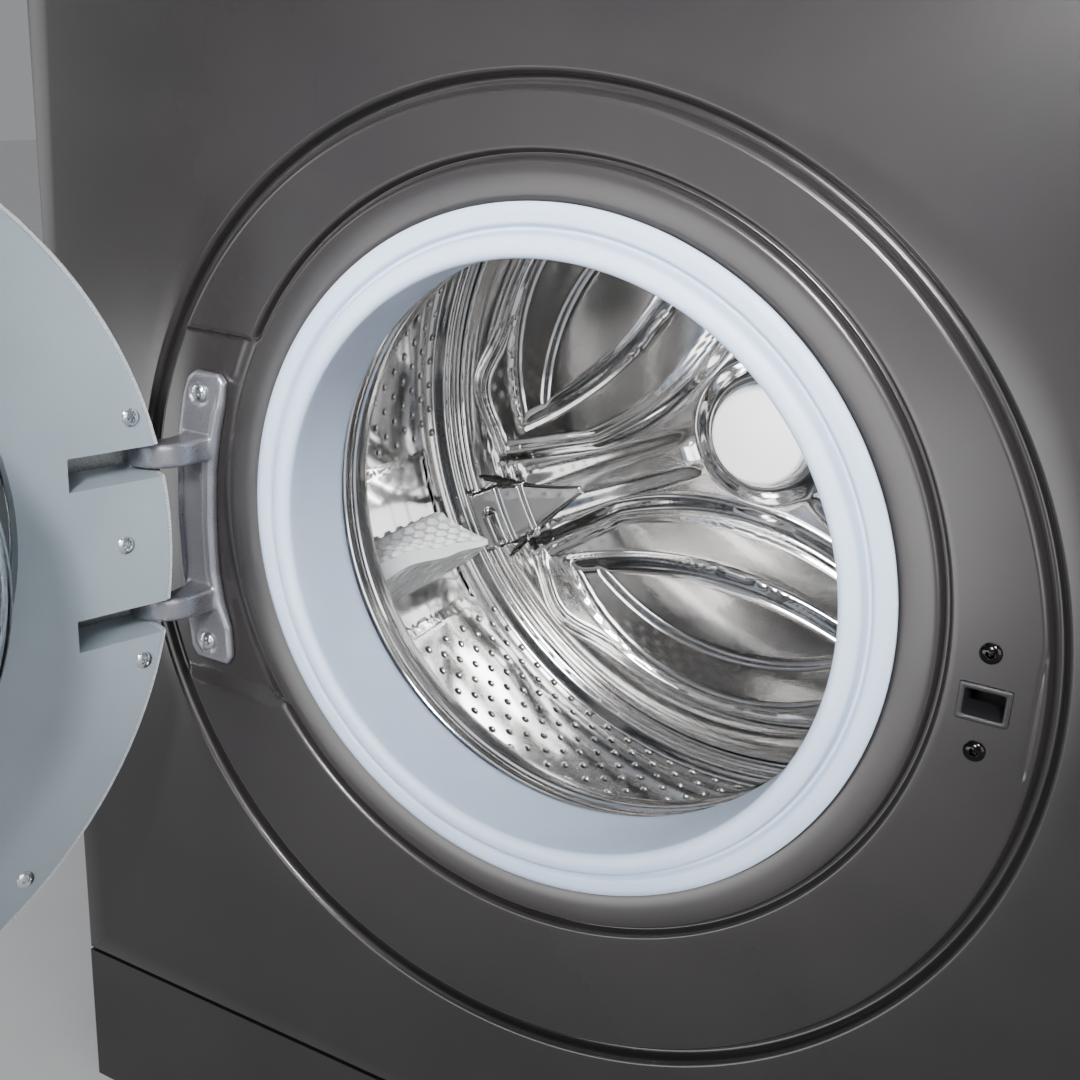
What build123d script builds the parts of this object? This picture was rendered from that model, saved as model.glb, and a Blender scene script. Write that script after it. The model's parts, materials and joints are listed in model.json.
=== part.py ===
from build123d import *
import os
from math import acos, cos, radians, sin

# Front load washing machine, door open. Millimetres, +Z up, the front faces -Y.
# The origin is the middle of the base pan's underside, so the feet reach below it.
# "Depth" is measured back from the plane of the front panel, and the porthole's axis is at PORT_Z.

CABINET_W, CABINET_D, CABINET_H = 598, 500, 830
SHEET = 1.2
FRONT_Y = -CABINET_D / 2
PORT_Z = 420
GAP = 0.5

# Front of the cabinet, from the floor up
PLINTH_TOP, PANEL_FOOT, PANEL_TOP = 98, 100, 700
FASCIA_FOOT, FASCIA_TOP, WORKTOP_Z = 702, 798, 800

# Porthole and the pressed rings around it
PORT_R = 158.4
INNER_GROOVE_R, OUTER_GROOVE_R = 179.6, 228.3
RING_X, RING_Z = -3.9, -20.0
GROOVE_W, GROOVE_DEPTH = 4.2, 4.5
PRESSING_DEPTH = 6
POCKET_TOP, POCKET_FOOT = 81, -108

# Door and its hinge
DOOR_R, WINDOW_R, DOOR_THICK = 225, 150, 46
DOOR_GAP = 2
HINGE_X, HINGE_DEPTH = -219.3, -26
OPEN_ANGLE = 108.1
ARM_HEIGHTS, ARM_THICK, ARM_SLOT, ARM_SLOT_END = (21.3, -60.5), 13, 16.5, 53
PIN_R, PIN_FIT = 2.5, 0.05

# Lock
LOCK_X, LOCK_Z = 198, -10
LOCK_OPENING = (20.6, 16.2)

# Tub, drum and drive
TUB_R, TUB_WALL, TUB_SPLIT, TUB_BACK = 260, 4, 200, 344
DRUM_R, DRUM_SHEET, DRUM_FRONT, DRUM_BACK = 242, 1.5, 70, 303
MOUTH_R = 146
LIFTER_ANGLES, LIFTER_RIDGE_R = (205, 325, 85), 188
SHAFT_R, BEARING_R = 15, 30
PULLEY_R, MOTOR_PULLEY_R, BELT_THICK, BELT_DEPTH = 140, 12, 3, 388
MOTOR_DROP, MOTOR_R = 322, 52
SUSPENSION_X, SPRING_X, SUSPENSION_DEPTH = 150, 240, 200

# Feet
FOOT_X, FOOT_Y, FOOT_DROP = 255, 205, 18

os.makedirs("parts", exist_ok=True)


def facing(depth, x=0.0, z=PORT_Z):
    """A plane parallel to the front: its x is the cabinet's x and its y is up."""
    return Plane(origin=(x, FRONT_Y + depth, z), x_dir=(1, 0, 0), z_dir=(0, -1, 0))


def level(height, depth=0.0, x=0.0):
    """A level plane: its x is the cabinet's x and its y is the depth."""
    return Plane(origin=(x, FRONT_Y + depth, height))


def axis_at(x=0.0, z=PORT_Z):
    return Axis((x, FRONT_Y, z), (0, 1, 0))


def outline(points, plane):
    """A filled outline through the points, in the plane's own coordinates."""
    with BuildSketch(plane) as sketch:
        with BuildLine():
            Polyline(*points, close=True)
        make_face()
    return sketch.sketch


def turned(points, x=0.0, z=PORT_Z, mode=Mode.ADD):
    """Revolve (radius, depth) points about a front-to-back axis, into the part being built."""
    revolve(outline(points, level(z, x=x)), axis=axis_at(x, z), mode=mode)


def block(low, high, mode=Mode.ADD):
    """A box between two corners given as (x, depth, height above the origin)."""
    size = [b - a for a, b in zip(low, high)]
    middle = [(a + b) / 2 for a, b in zip(low, high)]
    with Locations((middle[0], FRONT_Y + middle[1], middle[2])):
        Box(*size, mode=mode)


def rod(x, depth, low, high, radius, mode=Mode.ADD):
    """An upright cylinder between two heights above the origin."""
    with Locations((x, FRONT_Y + depth, (low + high) / 2)):
        Cylinder(radius, high - low, mode=mode)


def spindle(x, z, front, back, radius, mode=Mode.ADD):
    """A front-to-back cylinder between two depths, at (x, height above the origin)."""
    with Locations(Location((x, FRONT_Y + (front + back) / 2, z), (90, 0, 0))):
        Cylinder(radius, back - front, mode=mode)


def save(builder, name):
    builder.part.label = name
    export_step(builder.part, f"parts/{name}.step")


# ---------------------------------------------------------------- cabinet shell

HALF_W = CABINET_W / 2
SHELL_FRONT, SHELL_BACK = 13, CABINET_D - SHEET - GAP

# Base pan: a tray with a turned-up rim and a clearance hole over each foot
PAN_RIM, PAN_SHEET = 26, 2
with BuildPart() as base_pan:
    block((-HALF_W + 2, 3, 0), (HALF_W - 2, SHELL_BACK - 1, PAN_RIM))
    block((-HALF_W + 4, 5, PAN_SHEET), (HALF_W - 4, SHELL_BACK - 3, PAN_RIM + 1), mode=Mode.SUBTRACT)
    with Locations((0, 0, PAN_SHEET)):
        with GridLocations(2 * FOOT_X, 2 * FOOT_Y, 2, 2):
            Hole(5.5, depth=4 * PAN_SHEET)
save(base_pan, "base_pan")

# Four levelling feet: a rubber-faced pad on a threaded stud
FOOT_PLACES = {
    "front_left": (-1, -1), "front_right": (1, -1), "back_left": (-1, 1), "back_right": (1, 1),
}
for place, (side, end) in FOOT_PLACES.items():
    with BuildPart() as foot:
        with Locations((side * FOOT_X, end * FOOT_Y, -FOOT_DROP)):
            Cylinder(22, 7, align=(Align.CENTER, Align.CENTER, Align.MIN))
            Cylinder(5, FOOT_DROP + 24, align=(Align.CENTER, Align.CENTER, Align.MIN))
        with Locations((side * FOOT_X, end * FOOT_Y, -FOOT_DROP + 7)):
            Cylinder(11, 6, align=(Align.CENTER, Align.CENTER, Align.MIN))
        chamfer(foot.edges().filter_by(GeomType.CIRCLE).group_by(Axis.Z)[0], 2)
    save(foot, f"foot_{place}")

# Side panels: sheet with front and back returns, and a tab that the tub's spring hangs from
SPRING_TOP = PORT_Z + 263
for name, side in (("left", -1), ("right", 1)):
    inner, outer = side * (HALF_W - SHEET), side * HALF_W
    turn_in = side * (HALF_W - 16)
    near, far = sorted((inner, outer))
    with BuildPart() as side_panel:
        block((near, SHELL_FRONT, 4), (far, SHELL_BACK, FASCIA_TOP))
        near, far = sorted((turn_in, inner))
        block((near, SHELL_BACK - SHEET, PAN_RIM + 2), (far, SHELL_BACK, FASCIA_TOP))
        block((near, SHELL_FRONT, PLINTH_TOP + 4), (far, SHELL_FRONT + SHEET, FASCIA_FOOT - 4))
        near, far = sorted((side * (SPRING_X - 14), inner))
        block((near, SUSPENSION_DEPTH - 14, SPRING_TOP), (far, SUSPENSION_DEPTH + 14, SPRING_TOP + 5))
    save(side_panel, f"side_panel_{name}")

# Back panel: sheet with a pressed round dish over the drive, and holes for the services
VALVE_X, VALVE_Z = 200, 745
DRAIN_X, DRAIN_Z = -230, 700
CORD_X, CORD_Z = -150, 745
with BuildPart() as back_panel:
    block((-HALF_W + 1, CABINET_D - SHEET, 4), (HALF_W - 1, CABINET_D, FASCIA_TOP))
    turned([(0, CABINET_D + 5), (170, CABINET_D + 5), (185, CABINET_D), (185, CABINET_D - SHEET),
            (169, CABINET_D + 5 - SHEET), (0, CABINET_D + 5 - SHEET)])
    turned([(0, CABINET_D - 3), (183, CABINET_D - 3), (168, CABINET_D + 3.8), (0, CABINET_D + 3.8)],
           mode=Mode.SUBTRACT)
    spindle(VALVE_X, VALVE_Z, CABINET_D - 5, CABINET_D + 5, 16, mode=Mode.SUBTRACT)
    spindle(DRAIN_X, DRAIN_Z, CABINET_D - 5, CABINET_D + 5, 14, mode=Mode.SUBTRACT)
    spindle(CORD_X, CORD_Z, CABINET_D - 5, CABINET_D + 5, 9, mode=Mode.SUBTRACT)
save(back_panel, "back_panel")

# Cross braces between the side panels, at the top of the frame
with BuildPart() as top_braces:
    block((-HALF_W + 2, 400, 772), (HALF_W - 2, 440, 796))
    block((-HALF_W, 402, 771), (HALF_W, 438, 794), mode=Mode.SUBTRACT)
save(top_braces, "top_braces")

# Worktop, with a rounded front edge
with BuildPart() as worktop:
    block((-HALF_W, -4, WORKTOP_Z), (HALF_W, CABINET_D, CABINET_H))
    fillet(worktop.edges().filter_by(Axis.X).group_by(Axis.Y)[0], 6)
    fillet(worktop.edges().filter_by(Axis.Z).group_by(Axis.Y)[0], 5)
save(worktop, "worktop")

# ---------------------------------------------------------------- front panel

HINGE_SCREWS = [(-197.5, 49), (-197, -86)]
LOCK_SCREWS = [(LOCK_X - 0.7, LOCK_Z + 21.5), (LOCK_X - 0.5, LOCK_Z - 20.5)]
SCREW_R, SCREW_HEAD_R, SCREW_HEAD = 2, 4.6, 1.6
HINGE_SCREW_SEAT = 2
SEAM_X, SEAM_LOW, SEAM_HIGH, SEAM_DEPTH = 216.6, PORT_Z - 37, PORT_Z + 16, 0.8


def groove(radius, x, z):
    """Press a shallow round channel into the front."""
    half = GROOVE_W / 2
    turned([(radius - half, -1), (radius - half + 0.6, GROOVE_DEPTH - 1), (radius, GROOVE_DEPTH),
            (radius + half - 0.6, GROOVE_DEPTH - 1), (radius + half, -1)],
           x=x, z=PORT_Z + z, mode=Mode.SUBTRACT)


with BuildPart() as front_panel:
    block((-HALF_W, 0, PANEL_FOOT), (HALF_W, SHEET, PANEL_TOP))
    for side in (-1, 1):
        near, far = sorted((side * HALF_W, side * (HALF_W - SHEET)))
        block((near, 0, PANEL_FOOT), (far, SHELL_FRONT - 1, PANEL_TOP))
    with BuildSketch(facing(0)) as pressing:
        with Locations((RING_X, RING_Z)):
            Circle(OUTER_GROOVE_R + 8)
    extrude(amount=-PRESSING_DEPTH)
    groove(OUTER_GROOVE_R, RING_X, RING_Z)
    groove(INNER_GROOVE_R, 0, 0)
    # the hinge pocket, between a filled stretch of the inner groove and the outer groove
    with BuildSketch(facing(0)) as pocket_rim:
        Circle(INNER_GROOVE_R + 6)
        Circle(INNER_GROOVE_R - 6, mode=Mode.SUBTRACT)
        with Locations((-HALF_W / 2, (POCKET_TOP + POCKET_FOOT) / 2)):
            Rectangle(HALF_W, POCKET_TOP - POCKET_FOOT + 8, mode=Mode.INTERSECT)
    extrude(amount=-PRESSING_DEPTH)
    with BuildSketch(facing(0)) as pocket:
        with Locations((RING_X, RING_Z)):
            Circle(OUTER_GROOVE_R - 4)
        Circle(INNER_GROOVE_R + 5, mode=Mode.SUBTRACT)
        with Locations((-HALF_W / 2, (POCKET_TOP + POCKET_FOOT) / 2)):
            Rectangle(HALF_W, POCKET_TOP - POCKET_FOOT, mode=Mode.INTERSECT)
    extrude(amount=-GROOVE_DEPTH, mode=Mode.SUBTRACT)
    # the porthole, whose rim dips in and turns back as a collar for the gasket
    turned([(0, -1), (176.2, -1), (176.2, 20), (0, 20)], mode=Mode.SUBTRACT)
    turned([(PORT_R, 4.5), (162, 2.2), (176.2, 0), (176.2, PRESSING_DEPTH), (164, 8), (161, 10), (161, 15),
            (PORT_R, 15)])
    # lock opening, screw holes and the fine seam of the finger hold beside the lock
    with Locations((LOCK_X, FRONT_Y, PORT_Z + LOCK_Z)):
        Box(LOCK_OPENING[0], 40, LOCK_OPENING[1], mode=Mode.SUBTRACT)
    for x, z in HINGE_SCREWS + LOCK_SCREWS:
        spindle(x, PORT_Z + z, -1, 10, SCREW_R + 0.3, mode=Mode.SUBTRACT)
    block((SEAM_X, -1, SEAM_LOW), (SEAM_X + 1, SEAM_DEPTH, SEAM_HIGH), mode=Mode.SUBTRACT)
    for z in (SEAM_LOW, SEAM_HIGH - 1):
        block((SEAM_X - 4, -1, z), (SEAM_X + 1, SEAM_DEPTH, z + 1), mode=Mode.SUBTRACT)
    fillet(front_panel.edges().filter_by(Axis.Z).group_by(Axis.Y)[0].group_by(Axis.X)[0], 1)
    fillet(front_panel.edges().filter_by(Axis.Z).group_by(Axis.Y)[0].group_by(Axis.X)[-1], 1)
save(front_panel, "front_panel")

# Gasket: a bead and a lip in front, a sleeve to the drum's mouth, and a fold back to the tub's neck
with BuildPart() as gasket:
    turned([(161, 1.9), (161, 0.6), (158, -1.4), (152, -1.4), (150.5, 1.5), (149, 1.5), (147.5, -4),
            (144, -6), (140.5, -6), (138, -3.5), (138, 4), (140, 42), (143, 47), (153, 47), (156, 43),
            (157, 22), (160, 20), (165.4, 34), (165.4, 56), (169.4, 56), (169.4, 32), (162, 16.2),
            (155, 16.2), (152.5, 41), (145, 43), (143.5, 40), (142, 8), (157.8, 8), (157.8, 3.9)])
save(gasket, "gasket")

# Lock: a bevelled bezel in the panel's opening, and the switch body behind it
with BuildPart() as lock_bezel:
    with Locations((LOCK_X, FRONT_Y + 0.5, PORT_Z + LOCK_Z)):
        Box(LOCK_OPENING[0] - 0.6, 4, LOCK_OPENING[1] - 0.6)
    with BuildSketch(facing(-2, LOCK_X, PORT_Z + LOCK_Z)) as bevel:
        Rectangle(LOCK_OPENING[0] - 2.2, LOCK_OPENING[1] - 2.2)
    extrude(amount=-5, taper=12, mode=Mode.SUBTRACT)
save(lock_bezel, "lock_bezel")

with BuildPart() as lock_body:
    block((LOCK_X - 16, 6.3, PORT_Z + LOCK_Z - 34), (LOCK_X + 16, 34, PORT_Z + LOCK_Z + 34))
    block((LOCK_X - 8, 5, PORT_Z + LOCK_Z - 5.5), (LOCK_X + 9, 27, PORT_Z + LOCK_Z + 5.5), mode=Mode.SUBTRACT)
    for x, z in LOCK_SCREWS:
        spindle(x, PORT_Z + z, 5, 20, SCREW_R, mode=Mode.SUBTRACT)
save(lock_body, "lock_body")

# ---------------------------------------------------------------- hinge

BRACKET_FACE = 0.4
with BuildPart() as hinge_bracket:
    extrude(outline([(-206, 59), (-181, 60), (-184, 38), (-189, 10), (-190, -20), (-189, -45), (-182, -76),
                     (-181, -97), (-207, -95), (-214, -60), (-217, -20), (-215, 25)],
                    facing(BRACKET_FACE)), amount=BRACKET_FACE - GROOVE_DEPTH)
    fillet(hinge_bracket.edges().filter_by(Axis.Y), 4)
    for height in ARM_HEIGHTS:
        foot_z = PORT_Z + height - ARM_THICK / 2
        arm = outline([(-191, 3), (-189.5, -12), (-192, -23), (-199, -30), (-214, -33), (-219, -31.8),
                       (-219, -21), (-213, -21.5), (-206, -18), (-205, 3)], level(foot_z))
        extrude(arm, amount=ARM_THICK)
        rod(HINGE_X, HINGE_DEPTH, foot_z, foot_z + ARM_THICK, 6)
        rod(HINGE_X, HINGE_DEPTH, foot_z - 1, foot_z + ARM_THICK + 1, PIN_R + PIN_FIT, mode=Mode.SUBTRACT)
    for x, z in HINGE_SCREWS:
        spindle(x, PORT_Z + z, -5, 10, SCREW_R + 0.2, mode=Mode.SUBTRACT)
        spindle(x, PORT_Z + z, -5, HINGE_SCREW_SEAT, 6, mode=Mode.SUBTRACT)
save(hinge_bracket, "hinge_bracket")

# Panel screws, two in the hinge bracket and two that hold the lock
with BuildPart() as panel_screws:
    for places, seat in ((HINGE_SCREWS, HINGE_SCREW_SEAT), (LOCK_SCREWS, 0)):
        for x, z in places:
            spindle(x, PORT_Z + z, seat - SCREW_HEAD, seat, SCREW_HEAD_R)
            spindle(x, PORT_Z + z, seat, 16, SCREW_R)
            spindle(x, PORT_Z + z, seat - 3, seat - 0.8, 1.4, mode=Mode.SUBTRACT)
save(panel_screws, "panel_screws")

# ---------------------------------------------------------------- door, in its own plane

# The door plane lies on its inner face, its x runs from the hinge edge to the lock edge, and its
# normal points out of the machine when the door is shut. "Lift" is measured along that normal.
SWING_COS, SWING_SIN = cos(radians(OPEN_ANGLE)), sin(radians(OPEN_ANGLE))
reach, drop = -HINGE_X, -DOOR_GAP - HINGE_DEPTH
DOOR = Plane(
    origin=(HINGE_X + reach * SWING_COS + drop * SWING_SIN,
            FRONT_Y + HINGE_DEPTH - reach * SWING_SIN + drop * SWING_COS, PORT_Z),
    x_dir=(SWING_COS, -SWING_SIN, 0),
    z_dir=(-SWING_SIN, -SWING_COS, 0),
)
PIN_LIFT = drop
RIM_LEFT = RING_X - DOOR_R


def on_door(x=0.0, z=0.0, lift=0.0):
    return Plane(origin=DOOR.from_local_coords((x, z, lift)), x_dir=DOOR.x_dir, z_dir=DOOR.z_dir)


def turned_on_door(points, x=0.0, z=0.0, mode=Mode.ADD):
    """Revolve (radius, depth) points about an axis square to the door; depth is minus lift."""
    middle = DOOR.from_local_coords((x, z, 0))
    plane = Plane(origin=middle, x_dir=DOOR.x_dir, z_dir=(0, 0, 1))
    revolve(outline(points, plane), axis=Axis(middle, DOOR.z_dir), mode=mode)


def door_block(low, high, mode=Mode.ADD):
    """A box between two corners given as (x, z, lift) on the door."""
    with BuildSketch(on_door((low[0] + high[0]) / 2, (low[1] + high[1]) / 2, low[2])) as face:
        Rectangle(high[0] - low[0], high[1] - low[1])
    extrude(face.sketch, amount=high[2] - low[2], mode=mode)


def cut_arm_slots():
    """Cut the two slots that the hinge arms reach through, open at the rim."""
    for height in ARM_HEIGHTS:
        half = ARM_SLOT / 2
        door_block((RIM_LEFT - 5, height - half, -2), (RIM_LEFT + ARM_SLOT_END, height + half, PIN_LIFT + 10),
                   Mode.SUBTRACT)


FACE_THICK, INNER_R = 5, DOOR_R - 3
DOOR_SCREWS = [(-208.4, 45), (-202.8, -18.5), (-209.3, -81.6)]
DOOR_SCREW_RING = 212
DOOR_SCREWS += [(RING_X + DOOR_SCREW_RING * cos(radians(a)), RING_Z + DOOR_SCREW_RING * sin(radians(a)))
                for a in range(-130, 131, 52)]

with BuildPart() as door_inner_frame:
    with BuildSketch(on_door()) as face:
        with Locations((RING_X, RING_Z)):
            Circle(INNER_R)
        Circle(WINDOW_R, mode=Mode.SUBTRACT)
    extrude(face.sketch, amount=FACE_THICK)
    turned_on_door([(WINDOW_R, 0), (WINDOW_R + 4, 0), (WINDOW_R + 4, -26), (WINDOW_R, -26)])
    with BuildSketch(on_door()) as carrier:
        with Locations((RING_X, RING_Z)):
            Circle(INNER_R - 0.3)
        with Locations((RIM_LEFT + 28, (ARM_HEIGHTS[0] + ARM_HEIGHTS[1]) / 2)):
            Rectangle(60, 118, mode=Mode.INTERSECT)
    extrude(carrier.sketch, amount=PIN_LIFT + 4.5)
    cut_arm_slots()
    pin_foot = DOOR.from_local_coords((HINGE_X, ARM_HEIGHTS[1] - 15, PIN_LIFT))
    with Locations(Location((pin_foot.X, pin_foot.Y, PORT_Z))):
        Cylinder(PIN_R + 0.02, 300, mode=Mode.SUBTRACT)
    for x, z in DOOR_SCREWS:
        door_block((x - 2.5, z - 2.5, -1), (x + 2.5, z + 2.5, FACE_THICK + 9), Mode.SUBTRACT)
    door_block((189, LOCK_Z - 8, -1), (214, LOCK_Z + 9, FACE_THICK + 1), Mode.SUBTRACT)
save(door_inner_frame, "door_inner_frame")

with BuildPart() as door_outer_frame:
    turned_on_door([(DOOR_R - 2.6, -1), (DOOR_R - 0.8, -1), (DOOR_R, -3), (DOOR_R, -30), (219, -41),
                    (202, -DOOR_THICK), (167, -44), (167, -41), (201, -43), (216.5, -38.5),
                    (DOOR_R - 2.6, -29)], RING_X, RING_Z)
    cut_arm_slots()
save(door_outer_frame, "door_outer_frame")

with BuildPart() as door_window:
    turned_on_door([(0, -49), (90, -48), (166.5, -44), (166.5, -41), (90, -45), (0, -46)], RING_X, RING_Z)
save(door_window, "door_window")

# Glass bowl: its flange sits behind the inner frame's ring, and it reaches into the drum's mouth
with BuildPart() as door_glass:
    turned_on_door([(149.5, -10), (149.5, -5), (134, -5), (131, 0), (125, 52), (121, 61), (110, 67), (0, 70),
                    (0, 65.5), (108, 62.5), (116, 57), (120, 50), (126, -5), (130, -10)])
save(door_glass, "door_glass")

# Screws around the inner frame, with domed heads
with BuildPart() as door_screws:
    for x, z in DOOR_SCREWS:
        with BuildSketch(on_door(x, z, -1.6)) as head:
            Circle(4.5)
        extrude(head.sketch, amount=1.6)
        with BuildSketch(on_door(x, z)) as shank:
            Circle(2.2)
        extrude(shank.sketch, amount=FACE_THICK + 6)
    fillet(door_screws.edges().filter_by(GeomType.CIRCLE).filter_by(lambda e: abs(e.radius - 4.5) < 0.01)
           .filter_by(lambda e: DOOR.to_local_coords(e.center()).Z < -1), 1.2)
    for x, z in DOOR_SCREWS:
        door_block((x - 1, z - 1, -2), (x + 1, z + 1, -0.8), Mode.SUBTRACT)
save(door_screws, "door_screws")

# Hinge pin: held in the block between the slots, its ends carry the bracket's arms
with BuildPart() as hinge_pin:
    rod(HINGE_X, HINGE_DEPTH, PORT_Z + ARM_HEIGHTS[1] - 8, PORT_Z + ARM_HEIGHTS[0] + 8, PIN_R)
save(hinge_pin, "hinge_pin")

# Sprung hook that catches the lock
HOOK_X, HOOK_LIFT, HOOK_TALL = 197, 10, 7
hook_foot = DOOR.from_local_coords((HOOK_X, LOCK_Z - HOOK_TALL / 2, 0))
with BuildPart() as door_hook:
    with BuildSketch(Plane(origin=hook_foot, x_dir=DOOR.x_dir, z_dir=(0, 0, 1))) as claw:
        with BuildLine():
            Polyline((-4, -14), (3, -14), (3, 10), (6.5, 13), (3, 19), (-2.5, 19), (-2.5, 0), close=True)
        make_face()
        with Locations((0, -HOOK_LIFT)):
            Circle(2, mode=Mode.SUBTRACT)
    extrude(claw.sketch, amount=HOOK_TALL)
save(door_hook, "door_hook")

# ---------------------------------------------------------------- tub and suspension

EAR_TOP = PORT_Z + 148
TUB_IN = TUB_R - TUB_WALL
with BuildPart() as tub_front:
    turned([(160, 40), (165, 40), (165, 57), (TUB_R - 3, 63), (TUB_R, 66), (TUB_R, TUB_SPLIT - 0.1),
            (TUB_IN, TUB_SPLIT - 0.1), (TUB_IN, 69), (163, 61.5), (160, 61.5)])
save(tub_front, "tub_front")

with BuildPart() as tub_rear:
    turned([(TUB_R, TUB_SPLIT + 0.1), (TUB_R, 336), (252, TUB_BACK), (45, TUB_BACK), (45, 374),
            (BEARING_R, 374), (BEARING_R, 334), (45, 334), (45, 338.5), (250, 338.5), (TUB_IN, 332),
            (TUB_IN, TUB_SPLIT + 0.1)])
    for side in (-1, 1):
        near, far = sorted((side * 215, side * (SPRING_X + 12)))
        block((near, 203, EAR_TOP - 16), (far, 223, EAR_TOP))
        near, far = sorted((side * (SUSPENSION_X - 9), side * (SUSPENSION_X + 9)))
        block((near, 203, PORT_Z - 226), (far, 221, PORT_Z - 208))
        near, far = sorted((side * 28, side * 40))
        block((near, 230, 143), (far, 320, PORT_Z - 256))
    spindle(0, PORT_Z, 100, 332, TUB_IN, mode=Mode.SUBTRACT)
save(tub_rear, "tub_rear")

# Counterweights: two concrete blocks on the tub's front, above and below the mouth
with BuildPart() as tub_weights:
    for middle in (90, 270):
        with BuildSketch(facing(30)) as crescent:
            Circle(252)
            Circle(196, mode=Mode.SUBTRACT)
            rays = [radians(middle + a) for a in (-52, 0, 52)]
            with BuildLine():
                Polyline((0, 0), *[(400 * cos(a), 400 * sin(a)) for a in rays], close=True)
            make_face(mode=Mode.INTERSECT)
        extrude(crescent.sketch, amount=-27)
save(tub_weights, "tub_weights")

# Heater: one long hairpin under the drum, with its flange on the tub's back
with BuildPart() as heater:
    for side in (-1, 1):
        spindle(side * 26, PORT_Z - 246, 120, 338, 3)
    with BuildSketch(level(PORT_Z - 246, 120)) as bend:
        Circle(29)
        Circle(23, mode=Mode.SUBTRACT)
        with Locations((0, 30)):
            Rectangle(60, 60, mode=Mode.SUBTRACT)
    extrude(bend.sketch, amount=3, both=True)
save(heater, "heater")

with BuildPart() as drum_bearings:
    for front, back in ((336, 352), (356, 371)):
        spindle(0, PORT_Z, front, back, BEARING_R)
    spindle(0, PORT_Z, 330, 380, SHAFT_R + 0.05, mode=Mode.SUBTRACT)
save(drum_bearings, "drum_bearings")

# Motor, hung between the tub's lugs
with BuildPart() as motor:
    spindle(0, PORT_Z - MOTOR_DROP, 222, 340, MOTOR_R - 4)
    for front, back in ((222, 246), (318, 340)):
        spindle(0, PORT_Z - MOTOR_DROP, front, back, MOTOR_R)
    block((-27.5, 232, PORT_Z - MOTOR_DROP), (27.5, 318, PORT_Z - MOTOR_DROP + 56))
    spindle(0, PORT_Z - MOTOR_DROP, 200, 400, 6.05, mode=Mode.SUBTRACT)
save(motor, "motor")

with BuildPart() as motor_pulley:
    spindle(0, PORT_Z - MOTOR_DROP, 226, BELT_DEPTH + 10, 6)
    spindle(0, PORT_Z - MOTOR_DROP, BELT_DEPTH - 9, BELT_DEPTH + 9, MOTOR_PULLEY_R)
save(motor_pulley, "motor_pulley")


def belt_loop(clearance):
    """The outline of a band around both pulleys, standing off them by the clearance."""
    large, small = PULLEY_R + clearance, MOTOR_PULLEY_R + clearance
    lean = acos((large - small) / MOTOR_DROP)
    side = [(r * sin(lean), z - r * cos(lean)) for r, z in ((large, 0), (small, -MOTOR_DROP))]
    with BuildSketch(facing(BELT_DEPTH - 7)) as loop:
        Circle(large)
        with Locations((0, -MOTOR_DROP)):
            Circle(small)
        with BuildLine():
            Polyline(side[0], side[1], (-side[1][0], side[1][1]), (-side[0][0], side[0][1]), close=True)
        make_face()
    return loop.sketch


with BuildPart() as drive_belt:
    extrude(belt_loop(0.3 + BELT_THICK), amount=-14)
    extrude(belt_loop(0.3), amount=-14, mode=Mode.SUBTRACT)
save(drive_belt, "drive_belt")

# Suspension: springs above (drawn as sleeves), and dampers below with rods in cylinders
SPRING_R, SPRING_WIRE = 12, 3
with BuildPart() as suspension_springs:
    for side in (-1, 1):
        rod(side * SPRING_X, SUSPENSION_DEPTH + 13, EAR_TOP + 0.1, SPRING_TOP - 0.1, SPRING_R)
        rod(side * SPRING_X, SUSPENSION_DEPTH + 13, EAR_TOP - 1, SPRING_TOP + 1, SPRING_R - SPRING_WIRE,
            mode=Mode.SUBTRACT)
save(suspension_springs, "suspension_springs")

DAMPER_R, ROD_R, CYLINDER_TOP = 12, 7, 130
with BuildPart() as damper_rods:
    for side in (-1, 1):
        rod(side * SUSPENSION_X, SUSPENSION_DEPTH + 12, 62, PORT_Z - 226, ROD_R)
save(damper_rods, "damper_rods")

with BuildPart() as damper_cylinders:
    for side in (-1, 1):
        rod(side * SUSPENSION_X, SUSPENSION_DEPTH + 12, PAN_SHEET, CYLINDER_TOP, DAMPER_R)
        rod(side * SUSPENSION_X, SUSPENSION_DEPTH + 12, 40, CYLINDER_TOP + 1, ROD_R + 0.3,
            mode=Mode.SUBTRACT)
save(damper_cylinders, "damper_cylinders")

# ---------------------------------------------------------------- drum

with BuildPart() as drum_shell:
    turned([(MOUTH_R, 74), (148, 70.6), (151, DRUM_FRONT), (153.5, 74), (228, 84), (238, 90), (DRUM_R, 98),
            (DRUM_R, DRUM_BACK), (DRUM_R - DRUM_SHEET, DRUM_BACK), (DRUM_R - DRUM_SHEET, 98.5), (237, 91.5),
            (227.6, 85.6), (153, 75.8), (148, 76.5)])
save(drum_shell, "drum_shell")

# Drum back: a dished disc that rises to the hub, under a plain hub cap
BACK_RIM = DRUM_R - DRUM_SHEET - 0.05
with BuildPart() as drum_back:
    turned([(SHAFT_R + 0.05, DRUM_BACK), (198, DRUM_BACK), (215, 296), (229, 290), (BACK_RIM, 290),
            (BACK_RIM, 291.5), (229.5, 291.5), (216, 297.5), (199, DRUM_BACK + DRUM_SHEET),
            (SHAFT_R + 0.05, DRUM_BACK + DRUM_SHEET)])
save(drum_back, "drum_back")

with BuildPart() as hub_cap:
    turned([(0, 281), (27, 282), (31, 285), (35, DRUM_BACK - 0.1), (0, DRUM_BACK - 0.1)])
save(hub_cap, "hub_cap")

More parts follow.
